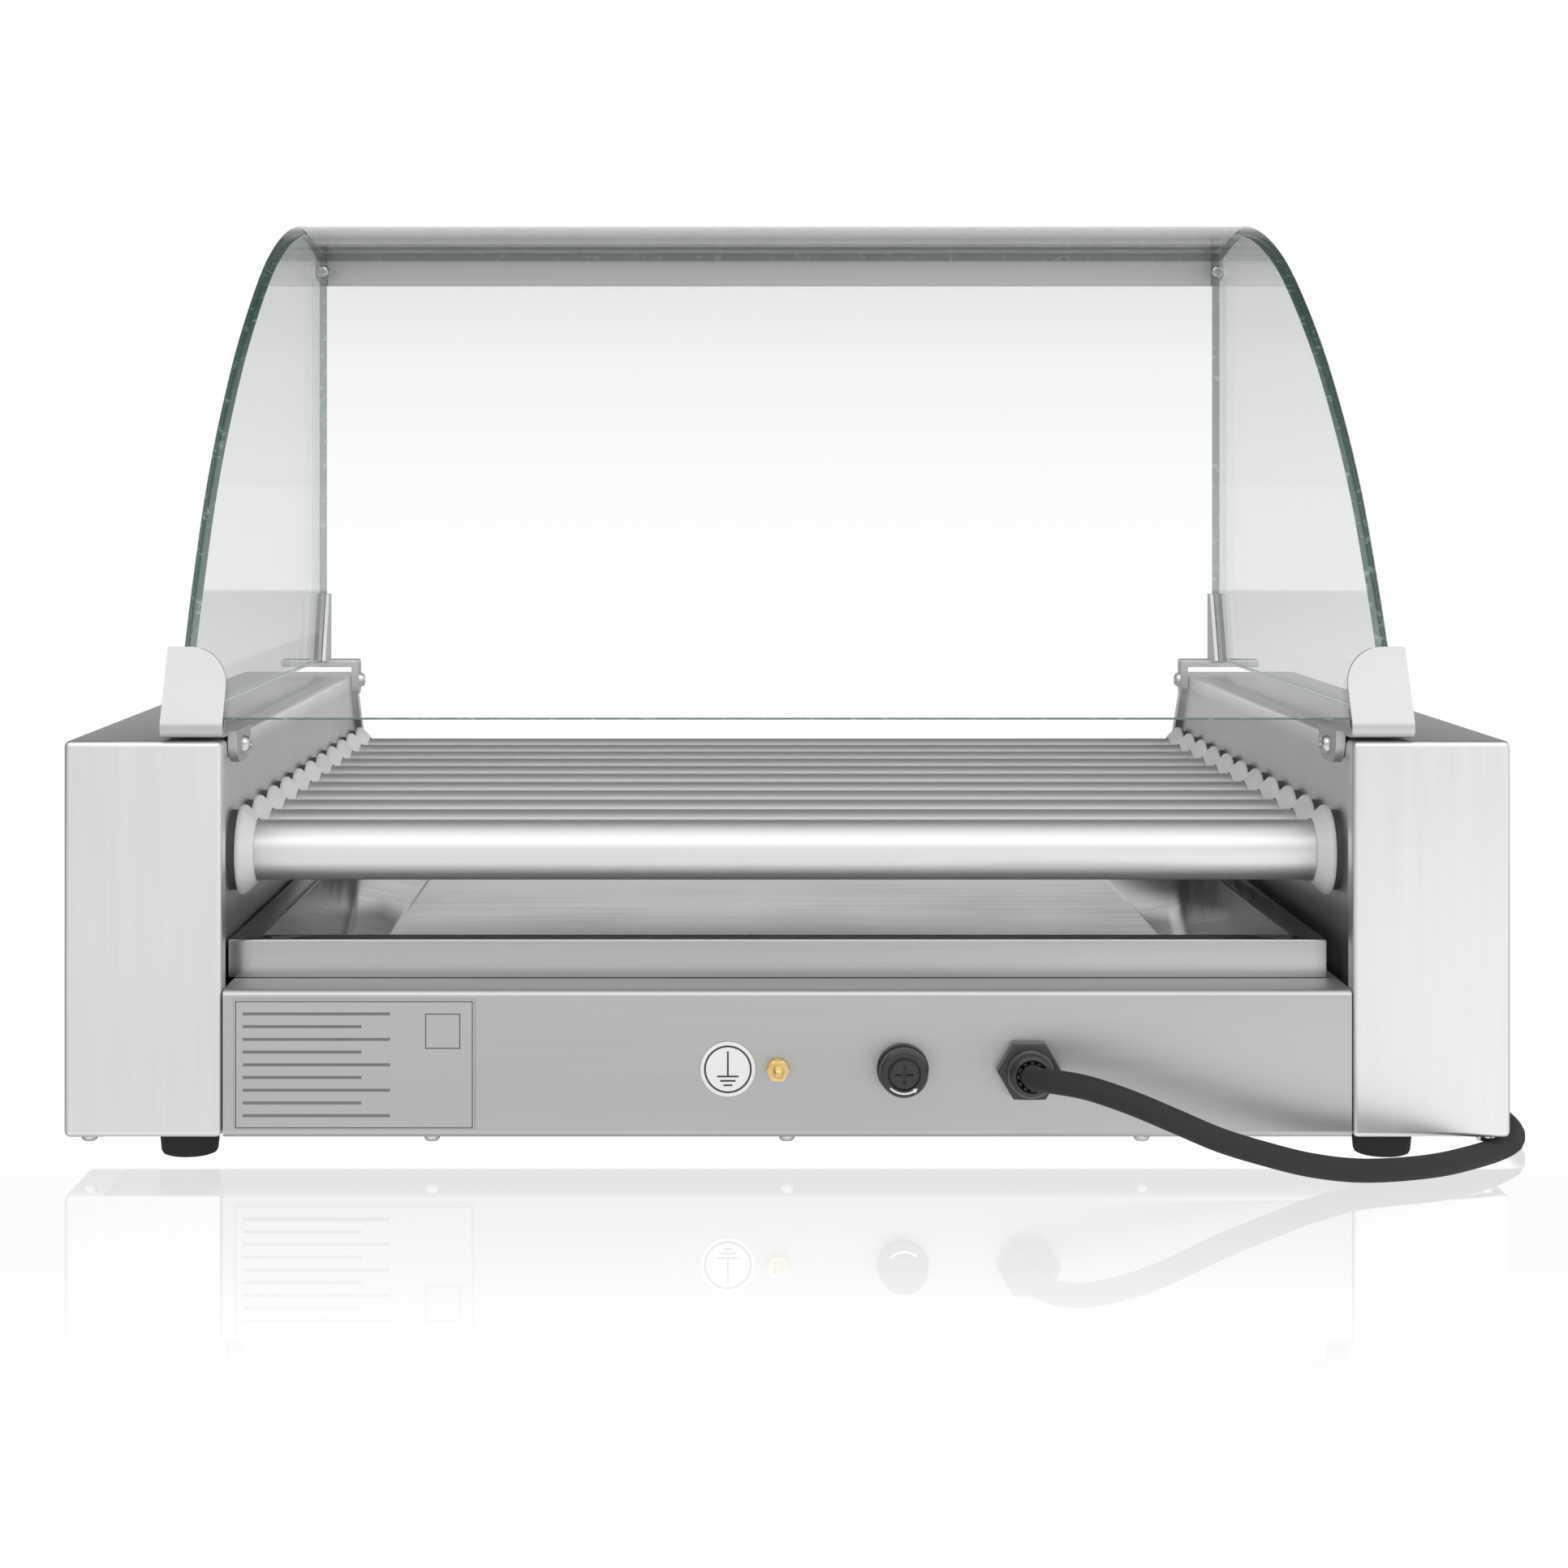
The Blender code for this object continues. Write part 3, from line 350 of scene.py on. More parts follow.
@dataclass(frozen=True)
class Plastic(Finish):
    """Moulded plastic or rubber: an even colour, a fine moulded grain and a little wear."""

    shade: Colour = (0.03, 0.03, 0.03)
    roughness: float = 0.35
    grain: float = 1500.0
    depth: float = 0.00003
    glow: float = 0.0
    coat: float = 0.0

    def dress(self, kit: Kit) -> None:
        """A fine grain in relief, and slow changes of gloss and shade."""
        place = kit.place()
        fine = kit.noise(place, self.grain, 2.0)
        slow = kit.noise(place, 60.0, 3.0)
        worn = tuple(channel * 0.85 + 0.012 for channel in self.shade)
        kit.surface(kit.principled({
            "Base Color": kit.mix(slow.step(0.35, 0.75), self.shade, worn),
            "Roughness": self.roughness + (slow - 0.5) * 0.22,
            "Subsurface Weight": self.glow,
            "Subsurface Scale": 0.003,
            "Coat Weight": self.coat,
            "Normal": kit.bump(fine, self.depth),
        }))


@dataclass(frozen=True)
class Brass(Finish):
    """Turned brass with tool marks."""

    shade: Colour = (0.83, 0.58, 0.20)

    def dress(self, kit: Kit) -> None:
        """Two yellows and fine rings."""
        place = kit.place()
        marks = kit.noise(kit.stretched(place, (500.0, 4000.0, 500.0)), 1.0, 2.0)
        kit.surface(kit.principled({
            "Base Color": kit.mix(marks.step(0.3, 0.7), self.shade, (0.70, 0.42, 0.12)),
            "Metallic": 1.0,
            "Roughness": 0.16 + marks * 0.16,
            "Normal": kit.bump(marks, 0.00003),
        }))


@dataclass(frozen=True)
class Glass(Finish):
    """Clear float glass: it lets the light straight through and mirrors more of it at a slant."""

    tint: Colour = (0.985, 0.99, 0.988)

    def dress(self, kit: Kit) -> None:
        """A clear shader and a mirror, mixed by the angle at which the sheet is seen."""
        slant = Field(kit, kit.node("ShaderNodeLayerWeight", {}, {"Blend": 0.5}).outputs["Facing"])
        dust = kit.noise(kit.place(), 40.0, 4.0).step(0.5, 0.9)
        clear = kit.node("ShaderNodeBsdfTransparent", {}, {"Color": (*self.tint, 1.0)})
        mirror = kit.principled({"Base Color": (0.9, 0.92, 0.91, 1.0), "Metallic": 1.0, "Roughness": 0.03})
        share = 0.04 + 0.80 * slant ** 5.0 + dust * 0.006
        mixed = kit.node("ShaderNodeMixShader", {}, {0: share, 1: Field(kit, clear.outputs[0]), 2: mirror})
        kit.surface(Field(kit, mixed.outputs[0]))


@dataclass(frozen=True)
class GlassEdge(Finish):
    """The ground edge of a glass sheet, where the green of the glass gathers."""

    shade: Colour = (0.055, 0.125, 0.100)

    def dress(self, kit: Kit) -> None:
        """Green with paler ground flecks."""
        place = kit.place()
        flecks = kit.noise(place, 260.0, 4.0).step(0.55, 0.72)
        kit.surface(kit.principled({
            "Base Color": kit.mix(flecks, self.shade, (0.26, 0.36, 0.33)),
            "Roughness": 0.16 + flecks * 0.3,
            "Coat Weight": 0.5,
        }))


@dataclass(frozen=True)
class Lens(Finish):
    """A coloured moulded lens with ribs inside."""

    shade: Colour = (0.70, 0.04, 0.03)

    def dress(self, kit: Kit) -> None:
        """A saturated colour that ribs make lighter and darker."""
        ribs = kit.noise(kit.stretched(kit.place(), (1800.0, 60.0, 1800.0)), 1.0, 1.0)
        kit.surface(kit.principled({
            "Base Color": kit.mix(ribs.step(0.4, 0.6), self.shade, (0.35, 0.01, 0.01)),
            "Roughness": 0.10 + ribs * 0.1,
            "Coat Weight": 1.0,
            "Subsurface Weight": 0.3,
            "Subsurface Scale": 0.004,
        }))


@dataclass(frozen=True)
class PrintedPlate(Finish):
    """A satin aluminium plate or a white label, with a fine paper-like tooth."""

    shade: Colour = (0.62, 0.62, 0.62)
    metallic: float = 0.7
    roughness: float = 0.36

    def dress(self, kit: Kit) -> None:
        """A fine speckle in shade and gloss."""
        speck = kit.noise(kit.place(), 2200.0, 2.0)
        pale = tuple(min(channel * 1.08, 1.0) for channel in self.shade)
        kit.surface(kit.principled({
            "Base Color": kit.mix(speck.step(0.3, 0.7), self.shade, pale),
            "Metallic": self.metallic,
            "Roughness": self.roughness + (speck - 0.5) * 0.15,
        }))


COVER_STEEL = BrushedSteel("cover_steel", "stainless_sheet", Axis.Z, 0.72, 0.38)
BASE_STEEL = BrushedSteel("base_steel", "stainless_sheet", Axis.X, 0.50, 0.40, stretch=0.5)
WALL_STEEL = BrushedSteel("wall_steel", "stainless_sheet", Axis.Y, 0.46, 0.20, 1500.0, streak=0.08)
TRAY_STEEL = BrushedSteel("tray_steel", "stainless_sheet", Axis.X, 0.38, 0.10, streak=0.05)
SKIRT_STEEL = BrushedSteel("skirt_steel", "stainless_sheet", Axis.X, 0.46, 0.22)
ROLLER_STEEL = BrushedSteel("roller_steel", "roller_steel", Axis.X, 0.63, 0.07, 2600.0)
BRACKET_STEEL = BrushedSteel("bracket_steel", "satin_bracket", Axis.Z, 0.52, 0.42, 1800.0)
RAIL_STEEL = BrushedSteel("rail_steel", "satin_bracket", Axis.X, 0.60, 0.45)
SCREW_STEEL = BrushedSteel("screw_steel", "satin_bracket", Axis.X, 0.60, 0.20)
ZINC_STEEL = PlatedSteel("zinc_steel", "zinc_steel")
DARK_STEEL = PlatedSteel("dark_steel", "zinc_steel", (0.22, 0.22, 0.22), 0.34)
BUSH_PLASTIC = Plastic("bush_plastic", "white_plastic", (0.78, 0.78, 0.775), 0.42, glow=0.2)
# Near black: painted shade on the bushes' collars and on their stubs behind the wall, standing for the dark
# gap between each flange and the wall.
BUSH_COLLAR_SHADE = Plastic("bush_collar", "white_plastic", (0.06, 0.06, 0.06), 0.5)
BLACK_PLASTIC = Plastic("black_plastic", "black_plastic", (0.022, 0.022, 0.023), 0.30)
FOOT_RUBBER = Plastic("foot_rubber", "foot_rubber", (0.008, 0.008, 0.008), 0.62, 900.0, 0.00008)
CORD_RUBBER = Plastic("cord_rubber", "cord_rubber", (0.012, 0.012, 0.0125), 0.30, 1200.0, 0.00005)
WHITE_INK = Plastic("white_ink", "white_label", (0.72, 0.72, 0.72), 0.5)
BLACK_INK = Plastic("black_ink", "black_plastic", (0.035, 0.035, 0.035), 0.55)
GREY_INK = Plastic("grey_ink", "plate_aluminium", (0.16, 0.16, 0.16), 0.55)
BRASS = Brass("brass", "brass")
FRONT_GLASS = Glass("front_glass", "clear_glass")
SIDE_GLASS = Glass("side_glass", "clear_glass", (0.94, 0.945, 0.943))
GLASS_EDGE = GlassEdge("glass_edge", "clear_glass")
RED_LENS = Lens("red_lens", "red_lens")
PLATE_METAL = PrintedPlate("plate_metal", "plate_aluminium", (0.45, 0.45, 0.45))
LABEL_PAPER = PrintedPlate("label_paper", "white_label", (0.74, 0.74, 0.745), 0.0, 0.45)


# Shapes


def arc(centre: Flat, radius: float, start: float, end: float, steps: int = 6) -> list[Flat]:
    """Points on an arc.

    Args:
        centre: its centre.
        radius: its radius.
        start: its first angle, in degrees.
        end: its last angle, in degrees.
        steps: how many pieces it has.

    Returns:
        The points, both ends included.
    """
    angles = [math.radians(start + (end - start) * i / steps) for i in range(steps + 1)]
    return [(centre[0] + radius * math.cos(a), centre[1] + radius * math.sin(a)) for a in angles]


def folded(line: Sequence[Flat], thickness: float, bend: float, steps: int = 5) -> list[Flat]:
    """The closed section of a folded sheet.

    Args:
        line: the corners of its outer face, with the metal to the right of the way that they run.
        thickness: the sheet's.
        bend: the radius of its bends, on the side that the line is on.
        steps: how many pieces each bend has.

    Returns:
        The outline, once round.
    """
    corners = [Vector(point) for point in line]
    outer = []
    inner = []
    for i, corner in enumerate(corners):
        if i in (0, len(corners) - 1):
            run = corners[1] - corners[0] if i == 0 else corners[-1] - corners[-2]
            outer.append(corner)
            inner.append(corner + Vector((run.y, -run.x)).normalized() * thickness)
            continue
        back = (corners[i - 1] - corner).normalized()
        onward = (corners[i + 1] - corner).normalized()
        half = back.angle(onward) / 2
        centre = corner + (back + onward).normalized() * bend / math.sin(half)
        first = corner + back * bend / math.tan(half) - centre
        last = corner + onward * bend / math.tan(half) - centre
        turn = first.angle_signed(last)
        to_left = back.cross(onward) < 0
        share = (bend + thickness) / bend if to_left else (bend - thickness) / bend
        for k in range(steps + 1):
            spoke = Matrix.Rotation(-turn * k / steps, 2) @ first
            outer.append(centre + spoke)
            inner.append(centre + spoke * share)
    return [tuple(point) for point in outer + inner[::-1]]


def smooth_line(points: Sequence[Vector], steps: int) -> list[Vector]:
    """A smooth curve through points, with that many pieces between each two."""
    ends = [points[0] * 2 - points[1], *points, points[-1] * 2 - points[-2]]
    curve = []
    for a, b, c, d in zip(ends, ends[1:], ends[2:], ends[3:]):
        for i in range(steps):
            t = i / steps
            curve.append(0.5 * (2 * b + (c - a) * t + (2 * a - 5 * b + 4 * c - d) * t * t
                                + (3 * b - a - 3 * c + d) * t ** 3))
    curve.append(points[-1])
    return curve


def beside(line: Sequence[Vector], distance: float) -> list[Vector]:
    """A line moved to the right-hand side of its own direction."""
    moved = []
    for i, point in enumerate(line):
        run = (line[min(i + 1, len(line) - 1)] - line[max(i - 1, 0)]).normalized()
        moved.append(point + Vector((run.y, -run.x)) * distance)
    return moved


def above(line: Sequence[Vector], level: float) -> list[Vector]:
    """The part of a rising line above a level, starting exactly on it."""
    kept = [point for point in line if point.y > level]
    below = line[len(line) - len(kept) - 1]
    share = (level - below.y) / (kept[0].y - below.y)
    return [below.lerp(kept[0], share), *kept]


class Shape:
    """A mesh in the making. Solids are added to it, and it ends as one piece."""

    def __init__(self) -> None:
        """Starts empty."""
        self.mesh = bmesh.new()

    def box(self, low: Sequence[float], high: Sequence[float]) -> "Shape":
        """Adds a block between two corners."""
        made = bmesh.ops.create_cube(self.mesh, size=1.0)["verts"]
        low, high = Vector(low), Vector(high)
        bmesh.ops.scale(self.mesh, verts=made, vec=high - low)
        bmesh.ops.translate(self.mesh, verts=made, vec=(low + high) / 2)
        return self

    def rings(self, rings: Sequence[Sequence[Spot]], closed: bool = False) -> "Shape":
        """Adds a skin over rings of equal length.

        Args:
            rings: the rings in order.
            closed: joins the last ring to the first, where both ends are otherwise capped.

        Returns:
            This shape.
        """
        made = [[self.mesh.verts.new(point) for point in ring] for ring in rings]
        count = len(made[0])
        pairs = list(zip(made, made[1:]))
        if closed:
            pairs.append((made[-1], made[0]))
        else:
            self.mesh.faces.new(made[0])
            self.mesh.faces.new(made[-1])
        for one, other in pairs:
            for i in range(count):
                j = (i + 1) % count
                self.mesh.faces.new((one[i], one[j], other[j], other[i]))
        return self

    def prism(self, outline: Sequence[Flat], axis: Axis, start: float, end: float) -> "Shape":
        """Adds an outline swept along an axis."""
        return self.rings([[axis.spot(at, a, b) for a, b in outline] for at in (start, end)])

    def turned(self, profile: Sequence[Flat], axis: Axis, centre: Flat, segments: int = 48,
               closed: bool = False) -> "Shape":
        """Adds a turned shape.

        Args:
            profile: (place along the axis, radius) points.
            axis: the axis it is turned about.
            centre: the axis's two other coordinates.
            segments: how many sides it has.
            closed: joins the profile's ends, which leaves a bore.

        Returns:
            This shape.
        """
        rings = [[axis.spot(at, *point) for point in arc(centre, radius, 0.0, 360.0, segments)[:-1]]
                 for at, radius in profile]
        return self.rings(rings, closed)

    def toothed(self, radii: Sequence[float], axis: Axis, centre: Flat, start: float, end: float) -> "Shape":
        """Adds a wheel whose rim goes through a list of radii, one after the other."""
        count = len(radii)
        rim = [(centre[0] + radius * math.cos(2 * math.pi * i / count),
                centre[1] + radius * math.sin(2 * math.pi * i / count)) for i, radius in enumerate(radii)]
        return self.prism(rim, axis, start, end)

    def copies(self, other: "Shape", places: Iterable[Matrix] = (Matrix(),)) -> "Shape":
        """Adds copies of another shape, one at each place."""
        model = bpy.data.meshes.new("model")
        other.mesh.to_mesh(model)
        for place in places:
            known = set(self.mesh.verts)
            self.mesh.from_mesh(model)
            bmesh.ops.transform(self.mesh, matrix=place, verts=[v for v in self.mesh.verts if v not in known])
        bpy.data.meshes.remove(model)
        return self

    def rounded(self, radius: float, steps: int = 3, sharper: float = 30.0) -> "Shape":
        """Rounds every edge whose faces meet at more than an angle, in degrees."""
        bmesh.ops.recalc_face_normals(self.mesh, faces=self.mesh.faces)
        edges = [e for e in self.mesh.edges if e.calc_face_angle(0.0) > math.radians(sharper)]
        bmesh.ops.bevel(self.mesh, geom=edges, offset=radius, segments=steps, profile=0.5, affect="EDGES")
        return self

    def combined(self, other: "Shape", joining: Joining) -> "Shape":
        """Joins, cuts or keeps what is common, by an exact Boolean.

        Args:
            other: the second shape, which is used up.
            joining: what is done with it.

        Returns:
            This shape.
        """
        pair = []
        for label, shape in (("first", self), ("second", other)):
            bmesh.ops.recalc_face_normals(shape.mesh, faces=shape.mesh.faces)
            mesh = bpy.data.meshes.new(label)
            shape.mesh.to_mesh(mesh)
            pair.append(bpy.data.objects.new(label, mesh))
            bpy.context.scene.collection.objects.link(pair[-1])
        modifier = pair[0].modifiers.new("joining", "BOOLEAN")
        modifier.object = pair[1]
        modifier.operation = joining.value
        modifier.solver = "EXACT"
        modifier.use_self = joining is Joining.CUT
        bpy.context.view_layer.update()
        shown = pair[0].evaluated_get(bpy.context.evaluated_depsgraph_get())
        made = bpy.data.meshes.new_from_object(shown)
        self.mesh.clear()
        self.mesh.from_mesh(made)
        other.mesh.free()
        for piece in pair:
            mesh = piece.data
            bpy.data.objects.remove(piece)
            bpy.data.meshes.remove(mesh)
        bpy.data.meshes.remove(made)
        return self

    def piece(self, name: str, finish: Union[Finish, Sequence[Finish]], body: str = "root",
              stands_for: Sequence[str] = (), edge: float = 0.0, sharp: float = 30.0) -> bpy.types.Object:
        """Ends the shape as a piece of the grill.

        Args:
            name: the piece's name.
            finish: its finish, or one for each material number of its faces.
            body: the body that it moves with.
            stands_for: the nodes of the frame that it replaces.
            edge: the radius that its sharp edges are broken to.
            sharp: the angle above which an edge stays sharp, in degrees.

        Returns:
            The new object.
        """
        finishes = [finish] if isinstance(finish, Finish) else list(finish)
        bmesh.ops.recalc_face_normals(self.mesh, faces=self.mesh.faces)
        mesh = bpy.data.meshes.new(name)
        self.mesh.to_mesh(mesh)
        self.mesh.free()
        mesh.shade_smooth()
        mesh.set_sharp_from_angle(angle=math.radians(sharp))
        for one in finishes:
            mesh.materials.append(one.material())
        made = bpy.data.objects.new(name, mesh)
        bpy.context.scene.collection.objects.link(made)
        if edge:
            bevel = made.modifiers.new("edges", "BEVEL")
            bevel.width = edge
            bevel.segments = 2
            bevel.limit_method = "ANGLE"
            bevel.angle_limit = math.radians(sharp)
            bevel.harden_normals = True
            bevel.material = len(finishes) - 1 if len(finishes) > 1 else -1
        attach(made, body)
        if stands_for:
            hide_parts(*stands_for)
        return made


def nut(axis: Axis, centre: Flat, across: float, start: float, end: float, both: bool = False) -> Shape:
    """A hexagon with the corners of one face, or of both, turned off.

    Args:
        axis: the axis it sits on.
        centre: the axis's two other coordinates.
        across: the width across its flats.
        start: the place of its turned face.
        end: the place of its other face.
        both: turns the corners off both faces.

    Returns:
        A new shape.
    """
    corner = across / math.sqrt(3)
    hexagon = arc(centre, corner, 0.0, 360.0, 6)[:-1]
    rise = (corner - across / 2) * 0.75 * (1 if end > start else -1)
    back = (end - rise, corner * 1.02), (end, across * 0.49)
    plain = ((end, corner * 1.02),)
    profile = ((start, across * 0.47), (start + rise, corner * 1.02), *(back if both else plain))
    return Shape().prism(hexagon, axis, start, end).combined(Shape().turned(profile, axis, centre),
                                                             Joining.KEEP)


@dataclass(frozen=True)
class PanScrew:
    """A pan-head screw with a cross recess."""

    diameter: float = 0.0078
    height: float = 0.0028

    def shape(self) -> Shape:
        """The head, standing on z = 0 about the z axis."""
        radius = self.diameter / 2
        dome = [(self.height * math.sin(a), radius * (0.55 + 0.45 * math.cos(a)))
                for a in (math.radians(15 * i) for i in range(7))]
        head = Shape().turned([(-self.height / 2, radius * 0.5), (0.0, radius), *dome[1:]], Axis.Z, (0.0,
                                                                                                     0.0), 32)
        slot = Shape()
        for turn in (0.0, math.pi / 2):
            bar = Shape().prism([(-radius * 0.55, self.height * 1.2), (radius * 0.55, self.height * 1.2),
                                 (radius * 0.22, self.height * 0.35), (-radius * 0.22, self.height * 0.35)],
                                Axis.Y, -radius * 0.11, radius * 0.11)
            slot.copies(bar, [Matrix.Rotation(turn, 4, "Z")])
        return head.combined(slot, Joining.CUT)

    def group(self, places: Sequence[tuple[Spot, Spot]]) -> Shape:
        """Screws at several places.

        Args:
            places: for each screw, where it stands and the way its head points.

        Returns:
            A new shape.
        """
        made = Shape()
        spots = [Matrix.Translation(at) @ Vector(out).to_track_quat("Z", "Y").to_matrix().to_4x4()
                 for at, out in places]
        return made.copies(self.shape(), spots)


@dataclass(frozen=True)
class Body:
    """The main planes of the grill, read from the frame."""

    near: float
    far: float
    floor: float
    top: float
    shelf: float
    half_width: float
    mouth: float
    wall: float

    @classmethod
    def read(cls) -> "Body":
        """Reads them from the boxes of the covers and the side plate."""
        low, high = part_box("right_end_cover")
        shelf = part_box("base_cover")[1].z
        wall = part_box("right_side_plate")[0].x
        return cls(low.y, high.y, low.z, high.z, shelf, high.x, low.x, wall)

    def outline(self, inset: float, bottom: float) -> list[Flat]:
        """The housing's side view as (y, z) points, drawn in by an inset."""
        run = 0.059
        drop = 0.066
        steep = math.atan2(drop, run)
        shift = inset * math.tan(steep / 2)
        turn = inset * math.tan((math.pi / 2 - steep) / 2)
        return [(self.near + inset, bottom), (self.near + inset, self.top - inset),
                (self.far - run - shift, self.top - inset),
                (self.far - inset, self.top - drop - turn), (self.far - inset, bottom)]


BODY = Body.read()


# The grill's sub-assemblies


@dataclass
class Studio:
    """The camera, the light and the floor."""

    camera_x: float = -0.027
    camera_height: float = 0.273
    camera_distance: float = 1.140
    lens: float = 65.34
    shift: Flat = (0.0409, -0.1905)
    tones: tuple[tuple[float, float], ...] = (
        (0.0, 0.85), (10.0, 0.85), (20.0, 0.95), (29.0, 1.5), (42.0, 1.95), (57.0, 1.95), (73.0, 1.2),
        (90.0, 0.95), (109.0, 0.42), (125.0, 0.12), (158.0, 0.10), (168.0, 0.80), (180.0, 0.80))
    left_side: float = 0.25
    right_side: float = 1.0
    table: float = 0.92
    table_far: float = 1.05
    # Painted light: the floor's glow towards the right.
    table_right: float = 1.30
    # Painted shadow: the floor's glow under and behind the grill.
    table_under: float = 0.27
    mirror: float = 0.34

    def build(self) -> list[bpy.types.Object]:
        """Makes the camera, the world and the floor. None of them is a piece."""
        scene = bpy.context.scene
        data = bpy.data.cameras.new("camera")
        data.sensor_width = 36.0
        data.lens = self.lens
        data.shift_x, data.shift_y = self.shift
        camera = bpy.data.objects.new("camera", data)
        camera.location = (self.camera_x, BODY.near - self.camera_distance, self.camera_height)
        camera.rotation_euler = (math.pi / 2, 0.0, 0.0)
        scene.collection.objects.link(camera)
        scene.camera = camera
        scene.view_settings.view_transform = "Standard"
        self.world(scene)
        self.floor()
        return []

    def world(self, scene: bpy.types.Scene) -> None:
        """White to the camera. Metal meets tones that run from the front over the top to the back."""
        world = bpy.data.worlds.new("studio")
        scene.world = world
        kit = Kit(world)
        way = Field(kit, kit.node("ShaderNodeTexCoord").outputs["Generated"])
        side, back, up = kit.parts(way)
        turn = up.turn_from(0.0 - back) * (180.0 / math.pi)
        shade: Number = self.tones[0][1]
        for (start, tone), (end, following) in zip(self.tones, self.tones[1:]):
            if tone != following:
                shade = shade + turn.step(start, end) * (following - tone)
        shade = kit.mix(side.step(-0.45, -0.90), shade, (self.left_side,) * 3)
        shade = kit.mix(side.step(0.45, 0.90), shade, (self.right_side,) * 3)
        shade = kit.mix(kit.seen(), shade, (1.0, 1.0, 1.0))
        light = kit.node("ShaderNodeBackground", {}, {"Color": shade, "Strength": 1.0})
        kit.node("ShaderNodeOutputWorld", {}, {"Surface": Field(kit, light.outputs[0])})

    def floor(self) -> None:
        """A white floor that mirrors a little in front of the grill. Metal meets its glow, darkened under and
        behind the grill as painted shadow and brightened to the right as painted light.
        """
        reach = 6.0
        mesh = bpy.data.meshes.new("floor")
        mesh.from_pydata([(-reach, -reach, 0.0), (reach, -reach, 0.0), (reach, reach, 0.0), (-reach, reach,
                                                                                             0.0)],
                         [], [(0, 1, 2, 3)])
        floor = bpy.data.objects.new("floor", mesh)
        bpy.context.scene.collection.objects.link(floor)
        material = bpy.data.materials.new("floor")
        kit = Kit(material)
        x, y, _ = kit.parts(kit.place())
        far = (0.0 - y - x * 0.5).step(0.50, 0.85)
        shade = kit.mix(far, (self.table,) * 3, (self.table_far,) * 3)
        # Painted light: the floor glows brighter towards the right.
        shade = kit.mix(x.step(0.02, 0.30), shade, (self.table_right,) * 3)
        # Painted shadow: the floor glows darker under and behind the grill, where the grill would shade it.
        shade = kit.mix(y.step(-0.27, -0.20), shade, (self.table_under,) * 3)
        shade = kit.mix(kit.seen(), shade, (1.1, 1.1, 1.1))
        glow = Field(kit, kit.node("ShaderNodeEmission", {}, {"Color": shade}).outputs[0])
        mirror = Field(kit, kit.node("ShaderNodeBsdfGlossy", {}, {"Color": (1.0,) * 4,
                                                                  "Roughness": 0.015}).outputs[0])
        under = y.step(BODY.near - 0.006, BODY.near) * (x * x).step(0.088, 0.082)
        share = self.mirror * y.step(-0.66, -0.25) * (1.0 - under)
        mixed = kit.node("ShaderNodeMixShader", {}, {0: share, 1: glow, 2: mirror})
        kit.surface(Field(kit, mixed.outputs[0]))
        mesh.materials.append(material)


